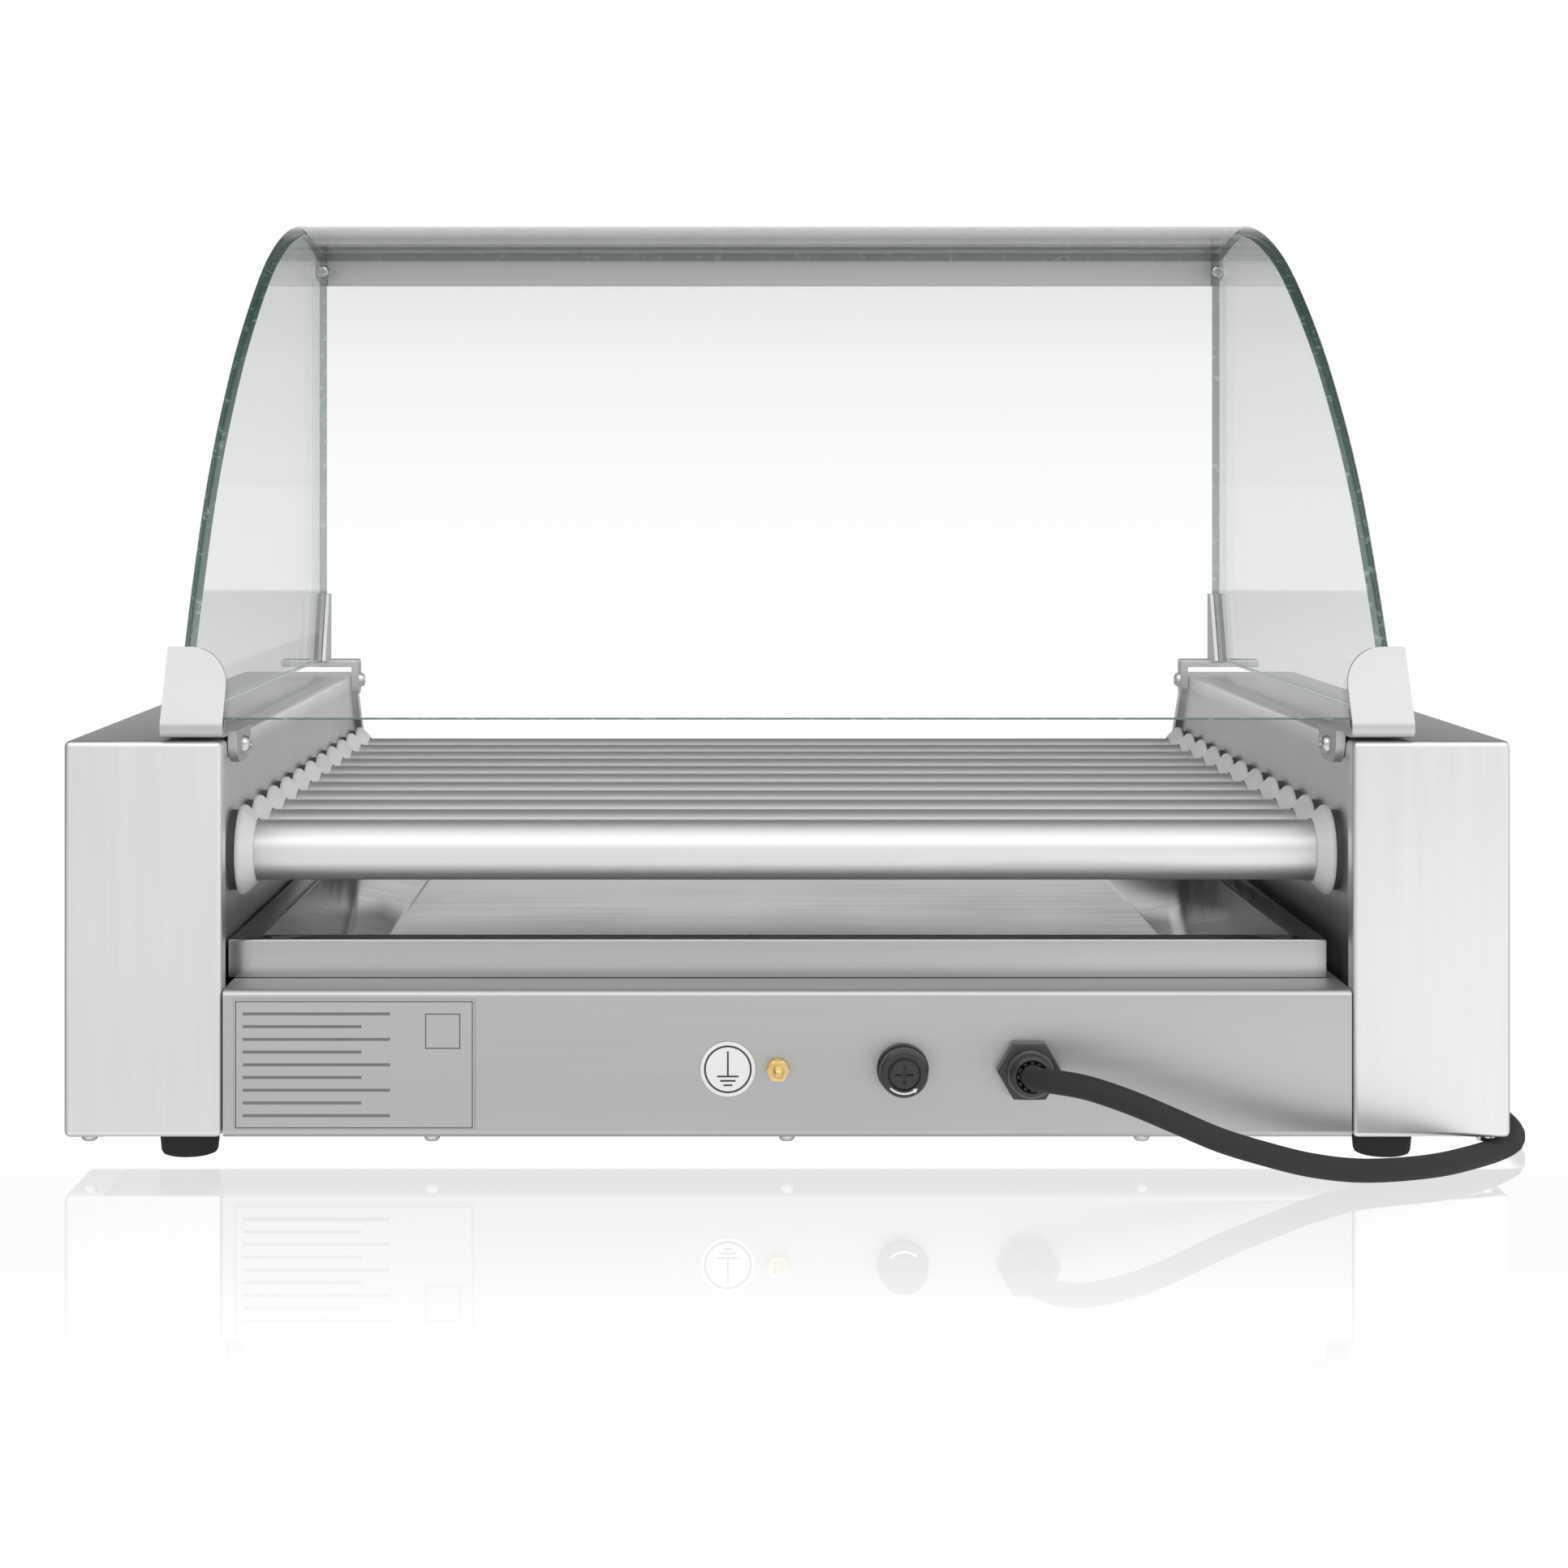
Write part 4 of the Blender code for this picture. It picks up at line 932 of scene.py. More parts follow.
@dataclass
class PowerCord:
    """The cord from the gland, its wound-up length, its tie and its plug."""

    diameter: float = 0.0094
    route: tuple[Spot, ...] = (
        (0.0965, -0.0165, 0.0396), (0.0975, -0.0260, 0.0402), (0.1040, -0.0340, 0.0410),
        (0.1160, -0.0400, 0.0398), (0.1320, -0.0440, 0.0350), (0.1490, -0.0450, 0.0280),
        (0.1660, -0.0430, 0.0205), (0.1850, -0.0390, 0.0140), (0.2020, -0.0345, 0.0090),
        (0.2200, -0.0290, 0.0056), (0.2370, -0.0245, 0.0047), (0.2560, -0.0170, 0.0047),
        (0.2730, -0.0040, 0.0047), (0.2880, 0.0110, 0.0047), (0.2985, 0.0280, 0.0047),
        (0.3035, 0.0560, 0.0047), (0.3035, 0.1200, 0.0047), (0.3025, 0.2000, 0.0047),
        (0.3012, 0.2900, 0.0047), (0.3002, 0.3600, 0.0047), (0.2998, 0.4060, 0.0047),
        (0.2998, 0.4285, 0.0047))
    turns: int = 4
    points_each_turn: int = 24
    tail_angle: float = 62.0

    def __post_init__(self) -> None:
        """Works out the coil's place and radii from its solid in the frame."""
        low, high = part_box("cord_coil")
        self.centre = (low + high) / 2
        self.outer = (high.x - low.x) / 2 - self.diameter / 2
        self.inner = self.outer - self.diameter
        self.levels = (self.diameter / 2, self.diameter * 1.5)
        self.plug_low, self.plug_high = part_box("plug")

    def coil(self) -> list[Vector]:
        """The wound-up turns: outer, inner, inner and outer, in two layers, then the rise to the plug."""
        places = ((self.outer, self.levels[0]), (self.inner, self.levels[0]),
                  (self.inner, self.levels[1]), (self.outer, self.levels[1]))
        points = []
        for turn in range(self.turns):
            radius, level = places[turn]
            later = places[turn + 1] if turn + 1 < self.turns else (self.outer, self.levels[1])
            for i in range(self.points_each_turn):
                angle = 360.0 * i / self.points_each_turn
                share = min(max((angle - 255.0) / 80.0, 0.0), 1.0)
                share = share * share * (3 - 2 * share)
                points.append(self.on_turn(angle, radius + (later[0] - radius) * share,
                                           level + (later[1] - level) * share))
        return points + self.rise()

    def on_turn(self, angle: float, radius: float, level: float) -> Vector:
        """A point of the coil, by its angle from where the cord comes in, in degrees."""
        turned = math.radians(180.0 - angle)
        return Vector((self.centre.x + radius * math.cos(turned), self.centre.y + radius * math.sin(turned),
                       level))

    def rise(self) -> list[Vector]:
        """From the top layer up to the plug's tail."""
        middle = (self.plug_low.z + self.plug_high.z) / 2
        steps = 5
        points = []
        for i in range(steps):
            share = i / steps
            eased = share * share * (3 - 2 * share)
            radius = self.outer + (self.outer - self.diameter / 2 - self.outer) * share
            points.append(self.on_turn(self.tail_angle * share, radius,
                                       self.levels[1] + (middle - self.levels[1]) * eased))
        tail_y = (self.plug_low.y + self.plug_high.y) / 2
        points.append(Vector((self.plug_low.x + 0.001, tail_y, middle)))
        return points

    def build(self) -> list[bpy.types.Object]:
        """Makes the cord, the tie and the plug."""
        plug = self.plug()
        contacts = self.contacts()
        boot = self.boot()
        tie = self.tie()
        path = [Vector((x, BODY.near + y, z)) for x, y, z in self.route] + self.coil()
        curve = bpy.data.curves.new("power_cord", "CURVE")
        curve.dimensions = "3D"
        curve.resolution_u = 6
        curve.bevel_depth = self.diameter / 2
        curve.bevel_resolution = 5
        curve.use_fill_caps = True
        spline = curve.splines.new("BEZIER")
        spline.bezier_points.add(len(path) - 1)
        ends = [path[0] * 2 - path[1], *path, path[-1] * 2 - path[-2]]
        for knot, before, point, after in zip(spline.bezier_points, ends, path, ends[2:]):
            knot.co = point
            knot.handle_left = point - (after - before) / 6
            knot.handle_right = point + (after - before) / 6
        cord = bpy.data.objects.new("power_cord_run", curve)
        curve.materials.append(CORD_RUBBER.material())
        bpy.context.scene.collection.objects.link(cord)
        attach(cord, "root")
        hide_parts("power_cord", "cord_coil")
        return [cord, plug, contacts, boot, tie]

    def plug(self) -> bpy.types.Object:
        """The moulded body, with grip ridges."""
        low, high = self.plug_low, self.plug_high
        blades = 0.019
        end = high.x - blades
        y, z = (low.y + high.y) / 2, (low.z + high.z) / 2
        rings = []
        for share, width, height in ((0.0, 0.42, 0.50), (0.12, 0.60, 0.72), (0.35, 0.86, 0.92), (0.75, 0.98,
                                                                                                 0.98),
                                     (1.0, 1.0, 1.0)):
            half_y = (high.y - low.y) / 2 * width
            half_z = (high.z - low.z) / 2 * height
            ring = [(low.x + (end - low.x) * share, y + half_y * math.copysign(abs(math.cos(a)) ** 0.55,
                                                                               math.cos(a)),
                     z + half_z * math.copysign(abs(math.sin(a)) ** 0.55, math.sin(a)))
                    for a in (2 * math.pi * i / 32 for i in range(32))]
            rings.append(ring)
        body = Shape().rings(rings)
        for i in range(4):
            x = low.x + 0.008 + 0.0034 * i
            for side in (-1, 1):
                body.box((x, y + side * 0.0085 - 0.0015, z - 0.006), (x + 0.0014,
                                                                      y + side * 0.0105 + 0.0005, z + 0.006))
        return body.piece("plug_body", CORD_RUBBER, stands_for=["plug"], edge=0.0005)

    def contacts(self) -> bpy.types.Object:
        """The two blades and the round ground pin."""
        low, high = self.plug_low, self.plug_high
        y, z = (low.y + high.y) / 2, (low.z + high.z) / 2
        end = high.x - 0.019
        made = Shape()
        for side in (-1, 1):
            made.box((end - 0.002, y + side * 0.00635 - 0.0008, z + GAP), (end + 0.016,
                                                                           y + side * 0.00635 + 0.0008,
                                                                           z + 0.0063))
        pin_z = z + 0.0063 / 2 - 0.0119
        profile = ((end - 0.002, 0.0024), (end + 0.0165, 0.0024), (end + 0.0185, 0.0014), (end + 0.019,
                                                                                           0.0005))
        made.turned(profile, Axis.X, (y, pin_z), 24)
        return made.piece("plug_contacts", BRASS, edge=0.0002)

    def boot(self) -> bpy.types.Object:
        """The tapered strain relief on the cord, behind the plug."""
        path = smooth_line(self.rise(), 3)[-12:]
        rings = []
        for i, point in enumerate(path):
            run = (path[min(i + 1, len(path) - 1)] - path[max(i - 1, 0)]).normalized()
            side = run.cross(Vector((0, 0, 1))).normalized()
            up = side.cross(run)
            share = i / (len(path) - 1)
            radius = self.diameter / 2 * (1.06 + 0.45 * share) + (0.0005 if i % 2 else 0.0)
            rings.append([tuple(point + (side * math.cos(a) + up * math.sin(a)) * radius)
                          for a in (2 * math.pi * k / 24 for k in range(24))])
        return Shape().rings(rings).piece("plug_relief", CORD_RUBBER)

    def tie(self) -> bpy.types.Object:
        """The band that holds the coil together, with its twisted head."""
        angle = math.radians(215.0)
        middle = (self.outer + self.inner) / 2
        half_width = self.diameter + 0.0008
        half_height = self.diameter + 0.0006
        across = Vector((math.cos(angle), math.sin(angle), 0.0))
        along = Vector((-math.sin(angle), math.cos(angle), 0.0))
        centre = Vector((self.centre.x, self.centre.y, self.diameter + 0.0004)) + across * middle
        rings = []
        for extra in (0.0, 0.0010):
            for shift in (-0.0028, 0.0028):
                ring = []
                for i in range(32):
                    turn = 2 * math.pi * i / 32
                    wide = (half_width + extra) * math.copysign(abs(math.cos(turn)) ** 0.6, math.cos(turn))
                    tall = (half_height + extra) * math.copysign(abs(math.sin(turn)) ** 0.6, math.sin(turn))
                    ring.append(tuple(centre + across * wide + along * shift
                                      + Vector((0, 0, max(tall, -self.diameter - GAP)))))
                rings.append(ring)
        band = Shape().rings([rings[0], rings[1], rings[3], rings[2]], closed=True)
        return band.piece("cord_tie", BLACK_PLASTIC)


@dataclass
class Base:
    """The folded cover with the two panels, the pan below it, the feet and the screws underneath."""

    flange: float = 0.012
    bend: float = 0.0030
    screw_xs: tuple[float, ...] = (-0.281, -0.143, 0.0, 0.143, 0.281)
    screw_inset: float = 0.0075

    def build(self) -> list[bpy.types.Object]:
        """Makes the cover, the feet and the screws, and finishes the pan."""
        pan = frame["nodes"]["base_pan"]
        wear(pan, ZINC_STEEL)
        return [self.cover(), pan, *self.feet(), self.screws()]

    def cover(self) -> bpy.types.Object:
        """The cover, folded from one sheet, with the holes for what is mounted on it."""
        line = [(BODY.near + self.flange, BODY.floor), (BODY.near, BODY.floor), (BODY.near, BODY.shelf),
                (BODY.far, BODY.shelf), (BODY.far, BODY.floor), (BODY.far - self.flange, BODY.floor)]
        edge = BODY.mouth - GAP
        cover = Shape().prism(folded(line, SHEET, self.bend), Axis.X, -edge, edge)
        holes = Shape()
        for node, radius in (("ground_stud", 0.0023), ("fuse_holder", 0.0066), ("cable_gland", 0.0066)):
            low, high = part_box(node)
            centre = ((low.x + high.x) / 2, (low.z + high.z) / 2)
            holes.turned(((BODY.near - 0.002, radius), (BODY.near + 0.003, radius)), Axis.Y, centre)
        for node, radius in (("knob_1", 0.0033), ("knob_2", 0.0033), ("pilot_light_1", 0.0048),
                             ("pilot_light_2", 0.0048)):
            low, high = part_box(node)
            centre = ((low.x + high.x) / 2, (low.z + high.z) / 2)
            holes.turned(((BODY.far - 0.003, radius), (BODY.far + 0.002, radius)), Axis.Y, centre)
        for node in ("switch_housing_1", "switch_housing_2"):
            low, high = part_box(node)
            holes.box((low.x + 0.0012, BODY.far - 0.003, low.z + 0.0012),
                      (high.x - 0.0012, BODY.far + 0.002, high.z - 0.0012))
        cover.combined(holes, Joining.CUT)
        return cover.piece("base_cover_folded", BASE_STEEL, stands_for=["base_cover"])

    def feet(self) -> list[bpy.types.Object]:
        """Four rubber feet with a rounded lower rim and a recess for the screw."""
        made = []
        for node in ("foot_near_left", "foot_near_right", "foot_far_left", "foot_far_right"):
            low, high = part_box(node)
            centre = ((low.x + high.x) / 2, (low.y + high.y) / 2)
            radius = (high.x - low.x) / 2
            profile = ((0.0022, 0.0045), (0.0, 0.0050), (0.0, radius - 0.0026), (0.0004, radius - 0.0016),
                       (0.0016, radius - 0.0010), (high.z - 0.0010, radius), (high.z, radius - 0.0006))
            foot = Shape().turned(profile, Axis.Z, centre)
            made.append(foot.piece(f"{node}_rubber", FOOT_RUBBER, stands_for=[node]))
        return made

    def screws(self) -> bpy.types.Object:
        """The screws that hold the covers and the pan together from below."""
        ends = (BODY.near + self.screw_inset, BODY.far - self.screw_inset)
        places = [((x, y, BODY.floor), (0, 0, -1)) for x in self.screw_xs for y in ends]
        return PanScrew(0.0068, 0.0026).group(places).piece("base_screws", SCREW_STEEL)


@dataclass
class Housing:
    """The folded cover of one end, its inner wall and its bushes."""

    side: Side
    bend: float = 0.0024
    return_flange: float = 0.008
    bottom_flange: float = 0.016
    notch_height: float = 0.0272
    bush_rim: float = 0.0186
    bush_tip: float = 0.0140
    bush_bore: float = 0.0129
    bush_cone: float = 0.0050
    bush_thickness: float = 0.0022
    bush_standoff: float = 0.0042
    bush_collar: float = 0.0167

    def build(self) -> list[bpy.types.Object]:
        """Makes the cover and the bushes, and finishes the wall."""
        wall = frame["nodes"][f"{self.side.label}_side_plate"]
        wear(wall, WALL_STEEL)
        return [self.cover(), wall, self.bushes()]

    def cover(self) -> bpy.types.Object:
        """The cover, folded from one sheet: open towards the wall and underneath."""
        low, high = self.side.span(BODY.mouth, BODY.half_width)
        cover = Shape().prism(BODY.outline(0.0, BODY.floor), Axis.X, low, high).rounded(self.bend, 4)
        low, high = self.side.span(BODY.mouth + SHEET, BODY.half_width - SHEET)
        inside = Shape().prism(BODY.outline(SHEET, BODY.floor + SHEET), Axis.X, low, high)
        cover.combined(inside.rounded(self.bend - SHEET, 3), Joining.CUT)
        low, high = self.side.span(BODY.mouth - SHEET, BODY.mouth + 3 * SHEET)
        opening = Shape().prism(BODY.outline(self.return_flange, BODY.floor - SHEET), Axis.X, low, high)
        cover.combined(opening, Joining.CUT)
        low, high = self.side.span(BODY.mouth - SHEET, BODY.half_width - self.bottom_flange)
        underside = Shape().box((low, BODY.near + SHEET, BODY.floor - SHEET),
                                (high, BODY.far - SHEET, BODY.floor + 3 * SHEET))
        cover.combined(underside, Joining.CUT)
        reach = abs(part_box("drip_tray")[0].x) + SHEET
        low, high = self.side.span(BODY.mouth - 2 * SHEET, reach)
        notch = Shape().box((low, BODY.far - 2 * self.return_flange, BODY.shelf - GAP),
                            (high, BODY.far + SHEET, BODY.shelf + self.notch_height))
        cover.combined(notch, Joining.CUT)
        name = f"{self.side.label}_end_cover"
        return cover.piece(f"{name}_folded", COVER_STEEL, stands_for=[name])

    def bushes(self) -> bpy.types.Object:
        """Eleven conical bushes, each with a collar before the wall and a stub that reaches behind it."""
        seat = BODY.wall - GAP
        back = BODY.wall - self.bush_standoff
        rim = back - self.bush_thickness
        tip = rim - self.bush_cone
        deep = abs(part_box(f"{self.side.label}_bushes")[1 if self.side is Side.RIGHT else 0].x)
        soft = 0.0005
        profile = [(tip, self.bush_bore), (tip, self.bush_tip - soft), (tip + soft, self.bush_tip + soft / 2),
                   (rim - soft, self.bush_rim - soft), (rim, self.bush_rim - soft / 4),
                   (rim + soft, self.bush_rim), (back - soft, self.bush_rim), (back, self.bush_rim - soft),
                   (back, self.bush_collar), (seat, self.bush_collar), (seat, 0.015), (deep, 0.015),
                   (deep, self.bush_bore)]
        made = Shape()
        for number in range(1, 12):
            low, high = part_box(f"roller_{number:02d}")
            centre = ((low.y + high.y) / 2, (low.z + high.z) / 2)
            made.turned([(self.side.value * x, r) for x, r in profile], Axis.X, centre, 56, closed=True)
        # The faces past each flange's back, the collar and the stub, take the near-black finish as painted
        # shade.
        for face in made.mesh.faces:
            face.material_index = int(abs(face.calc_center_median().x) > back + 0.0001)
        name = f"{self.side.label}_bushes"
        return made.piece(f"{name}_turned", (BUSH_PLASTIC, BUSH_COLLAR_SHADE), stands_for=[name], sharp=50.0)


@dataclass
class RollerDeck:
    """The heated tubes with their sprockets, and what drives and heats them."""

    tube_radius: float = 0.0125
    tube_wall: float = 0.0016
    teeth: int = 10
    tooth_tip: float = 0.01765
    tooth_root: float = 0.01325
    sprocket_offset: float = 0.0085
    sprocket_half: float = 0.0015

    def build(self) -> list[bpy.types.Object]:
        """Makes the rollers, and finishes the chain, the heaters, the motor and its sprocket."""
        made = [self.roller(number) for number in range(1, 12)]
        for node, finish in (("drive_chain", DARK_STEEL), ("heater_bank", ZINC_STEEL), ("gear_motor",
                                                                                        DARK_STEEL),
                             ("drive_sprocket", ZINC_STEEL)):
            part = frame["nodes"][node]
            wear(part, finish)
            made.append(part)
        return made

    def roller(self, number: int) -> bpy.types.Object:
        """One tube with its toothed wheel at the drive end."""
        node = f"roller_{number:02d}"
        low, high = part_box(node)
        centre = ((low.y + high.y) / 2, (low.z + high.z) / 2)
        soft = 0.0004
        outer, inner = self.tube_radius, self.tube_radius - self.tube_wall
        profile = [(low.x, inner + soft), (low.x, outer - soft), (low.x + soft, outer), (high.x - soft,
                                                                                         outer),
                   (high.x, outer - soft), (high.x, inner + soft), (high.x - soft, inner), (low.x + soft,
                                                                                            inner)]
        tube = Shape().turned(profile, Axis.X, centre, 64, closed=True)
        plane = BODY.wall + self.sprocket_offset
        wheel = self.wheel(centre, plane)
        tube.copies(wheel)
        return tube.piece(f"{node}_tube", ROLLER_STEEL, node, stands_for=[node])

    def wheel(self, centre: Flat, plane: float) -> Shape:
        """The toothed wheel that is welded on the tube."""
        radii = []
        for i in range(self.teeth * 8):
            share = (1 - math.cos(2 * math.pi * i / 8)) / 2
            radii.append(self.tooth_root + (self.tooth_tip - self.tooth_root) * min(share * 1.25, 1.0))
        wheel = Shape().toothed(radii, Axis.X, centre, plane - self.sprocket_half, plane + self.sprocket_half)
        bore = Shape().turned(((plane - 0.01, self.tube_radius - 0.0002), (plane + 0.01,
                                                                           self.tube_radius - 0.0002)),
                              Axis.X, centre)
        return wheel.combined(bore, Joining.CUT)


@dataclass
class DripTray:
    """The tray below the rollers: a skirt, a flat rim, sloping sides and a sunken floor."""

    rim: float = 0.0125
    slope: float = 0.045
    depth: float = 0.0095
    height: float = 0.0156
    bend: float = 0.0010

    def build(self) -> list[bpy.types.Object]:
        """Makes the tray with its lip at the operator's side."""
        low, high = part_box("drip_tray")
        rim = low.z + self.height
        steps = [(0.0, low.z), *[(self.bend * (1 - math.cos(a)), rim - self.bend * (1 - math.sin(a)))
                                 for a in (math.radians(22.5 * i) for i in range(5))],
                 (self.rim - 0.0006, rim), (self.rim + 0.0006, rim - 0.0002),
                 (self.rim + self.slope - 0.0010, rim - self.depth + 0.0003),
                 (self.rim + self.slope + 0.0008, rim - self.depth)]
        under = [(max(inset, SHEET), z - (SHEET if z > low.z else 0.0)) for inset, z in steps]
        under[0] = (SHEET, low.z)
        tray = Shape()
        skins = []
        for line in (steps, under):
            rings = [[tray.mesh.verts.new(corner) for corner in self.corners(low, high, inset, z)]
                     for inset, z in line]
            skins.append(rings)
            for one, other in zip(rings, rings[1:]):
                for i in range(4):
                    j = (i + 1) % 4
                    tray.mesh.faces.new((one[i], one[j], other[j], other[i]))
            tray.mesh.faces.new(rings[-1])
        for i in range(4):
            j = (i + 1) % 4
            tray.mesh.faces.new((skins[0][0][i], skins[0][0][j], skins[1][0][j], skins[1][0][i]))
        bmesh.ops.recalc_face_normals(tray.mesh, faces=tray.mesh.faces)
        for face in tray.mesh.faces:
            face.material_index = int(abs(face.normal.z) < 0.5)
        piece = tray.piece("drip_tray_folded", (TRAY_STEEL, SKIRT_STEEL), "drip_tray",
                           stands_for=["drip_tray"])
        line = [(high.y - 0.0068, high.z), (high.y, high.z), (high.y, rim - 0.004)]
        lip = Shape().prism(folded(line, SHEET, 0.002), Axis.X, low.x, high.x)
        return [piece, lip.piece("drip_tray_lip", SKIRT_STEEL, "drip_tray", edge=0.0002)]

    @staticmethod
    def corners(low: Vector, high: Vector, inset: float, z: float) -> list[Spot]:
        """The corners of a level rectangle inside the tray's box."""
        return [(low.x + inset, low.y + inset, z), (high.x - inset, low.y + inset, z),
                (high.x - inset, high.y - inset, z), (low.x + inset, high.y - inset, z)]


@dataclass
class Hood:
    """The bent sheet, the two panes, the rail and the four brackets."""

    thickness: float = 0.004
    half: float = 0.2447
    bottom: float = 0.179
    start: float = 0.0010
    curve: tuple[Flat, ...] = (
        (0.0190, 0.2105), (0.0415, 0.2425), (0.0665, 0.2730), (0.1005, 0.3045), (0.1465, 0.3385),
        (0.2070, 0.3725), (0.2540, 0.3910), (0.3030, 0.4030), (0.3450, 0.4065), (0.4085, 0.3990))
    back: float = 0.4083
    bracket_thickness: float = 0.0018
    bracket_width: float = 0.025
    bracket_inner: float = 0.226
    bracket_top: float = 0.2075
    bracket_corner: float = 0.016
    tab_thickness: float = 0.0037
    tab_depth: float = 0.034
    tab_from_near: float = 0.012
    tab_bottom: float = 0.160
    far_place: float = 0.405

    def __post_init__(self) -> None:
        """Works out the outer line of the glass."""
        through = [Vector((BODY.near + self.start, self.bottom))]
        through += [Vector((BODY.near + y, z)) for y, z in self.curve]
        self.outer = smooth_line(through, 6)
        first, second = through[0], through[1]
        self.lean = (second.x - first.x) / (second.y - first.y)

    def build(self) -> list[bpy.types.Object]:
        """Makes the glass, the rail, the brackets and their screws."""
        made = [self.sheet()]
        for side in Side:
            made += [self.pane(side), self.near_bracket(side), self.far_bracket(side)]
        return made + [self.rail(), self.screws()]

    def sheet(self) -> bpy.types.Object:
        """The bent sheet, with ground edges."""
        inner = above(beside(self.outer, self.thickness), self.bottom)
        outline = [tuple(p) for p in self.outer] + [tuple(p) for p in reversed(inner)]
        sheet = Shape().prism(outline, Axis.X, -self.half, self.half)
        self.mark_edges(sheet, {0, 1, 2 + len(self.outer) - 1, 2 + len(outline) - 1})
        return sheet.piece("curved_glass_sheet", (FRONT_GLASS, GLASS_EDGE), stands_for=["curved_glass"],
                           edge=0.0005)

    @staticmethod
    def mark_edges(shape: Shape, numbers: set[int]) -> None:
        """Gives the faces with these numbers the second finish."""
        shape.mesh.faces.ensure_lookup_table()
        for number in numbers:
            shape.mesh.faces[number].material_index = 1

    def pane(self, side: Side) -> bpy.types.Object:
        """A side pane under the end of the bent sheet."""
        under = above(beside(self.outer, self.thickness + GAP), self.bottom)
        back = BODY.near + self.back
        outline = [tuple(p) for p in under if p.x < back]
        outline += [(back, outline[-1][1]), (back, self.bottom)]
        low, high = side.span(self.half - self.thickness, self.half)
        pane = Shape().prism(outline, Axis.X, low, high)
        self.mark_edges(pane, set(range(2, 2 + len(outline))))
        name = f"{side.label}_side_glass"
        return pane.piece(f"{name}_pane", (SIDE_GLASS, GLASS_EDGE), stands_for=[name], edge=0.0004)

    def rail(self) -> bpy.types.Object:
        """The folded rail across the far top edge, with clipped lower corners."""
        low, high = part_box("top_rail")
        line = [(low.y, high.z), (high.y, high.z), (high.y, low.z)]
        rail = Shape().prism(folded(line, self.bracket_thickness, 0.0030), Axis.X, low.x, high.x)
        clips = Shape()
        clip = 0.005
        for side in Side:
            end = side.value * (high.x + 0.001)
            inner = side.value * (high.x - clip)
            clips.prism([(end, low.z - 0.001), (end, low.z + clip), (inner, low.z - 0.001)], Axis.Y,
                        low.y - 0.001, high.y + 0.001)
        rail.combined(clips, Joining.CUT)
        return rail.piece("top_rail_folded", RAIL_STEEL, stands_for=["top_rail"], edge=0.0003)

    def leaning(self, outward: float, bottom: float, top: float, thickness: float) -> list[Flat]:
        """A thin wall as (y, z) points that leans as the lower glass does, a distance in front of it."""
        def at(z: float) -> float:
            return BODY.near + self.start - outward + (z - self.bottom) * self.lean
        return [(at(bottom), bottom), (at(top), top), (at(top) + thickness, top), (at(bottom) + thickness,
                                                                                   bottom)]

    def near_bracket(self, side: Side) -> bpy.types.Object:
        """The plate before the glass, folded into its foot, with the fin behind the glass and the tab."""
        across = math.hypot(1.0, self.lean)
        foot_low = BODY.top + 0.0013
        foot_high = foot_low + self.bracket_thickness
        low, high = side.span(self.bracket_inner, self.bracket_inner + self.bracket_width)
        outward = (GAP + self.bracket_thickness) * across
        plate = self.leaning(outward, foot_low, self.bracket_top, self.bracket_thickness * across)
        line = [(plate[0][0] + 0.044, foot_low), (plate[0][0], foot_low), plate[1]]
        section = folded(line, self.bracket_thickness, 0.0042)
        bracket = Shape().prism(section, Axis.X, low, high)
        corner = Shape().prism(self.corner(side), Axis.Y, BODY.near - 0.02, BODY.near + 0.044)
        bracket.combined(corner, Joining.CUT)
        behind = (self.thickness + GAP) * across
        fin_low, fin_high = side.span(self.bracket_inner + 2 * GAP, self.half - self.thickness - GAP)
        fin = self.leaning(-behind, foot_low + 0.0009, foot_high + 0.009, self.bracket_thickness * across)
        bracket.combined(Shape().prism(fin, Axis.X, fin_low, fin_high), Joining.ADD)
        tab_inner = BODY.mouth - GAP - self.tab_thickness
        tab_low, tab_high = side.span(tab_inner, BODY.mouth - GAP)
        y = BODY.near + self.tab_from_near
        end = y + self.tab_depth
        soft = 0.010
        tab = [(y, foot_high), *arc((y + soft, self.tab_bottom + soft), soft, 180.0, 270.0),
               *arc((end - soft, self.tab_bottom + soft), soft, 270.0, 360.0), (end, foot_high)]
        bracket.combined(Shape().prism(tab, Axis.X, tab_low, tab_high), Joining.ADD)
        shoulder = side.span(tab_inner, self.bracket_inner + 0.004)
        bracket.combined(Shape().box((shoulder[0], y, foot_low), (shoulder[1], end, foot_high)), Joining.ADD)
        name = f"near_bracket_{side.label}"
        return bracket.piece(f"{name}_folded", BRACKET_STEEL, stands_for=[name])

    def corner(self, side: Side) -> list[Flat]:
        """What rounds off the upper inner corner of a near bracket's plate, as (x, z) points."""
        radius = self.bracket_corner
        centre = (self.bracket_inner + radius, self.bracket_top - radius)
        outline = [(centre[0] - radius - 0.001, centre[1]), (centre[0] - radius - 0.001,
                                                             centre[1] + radius + 0.001),
                   (centre[0], centre[1] + radius + 0.001), *arc(centre, radius, 90.0, 180.0, 12)]
        return [(side.value * x, z) for x, z in outline]

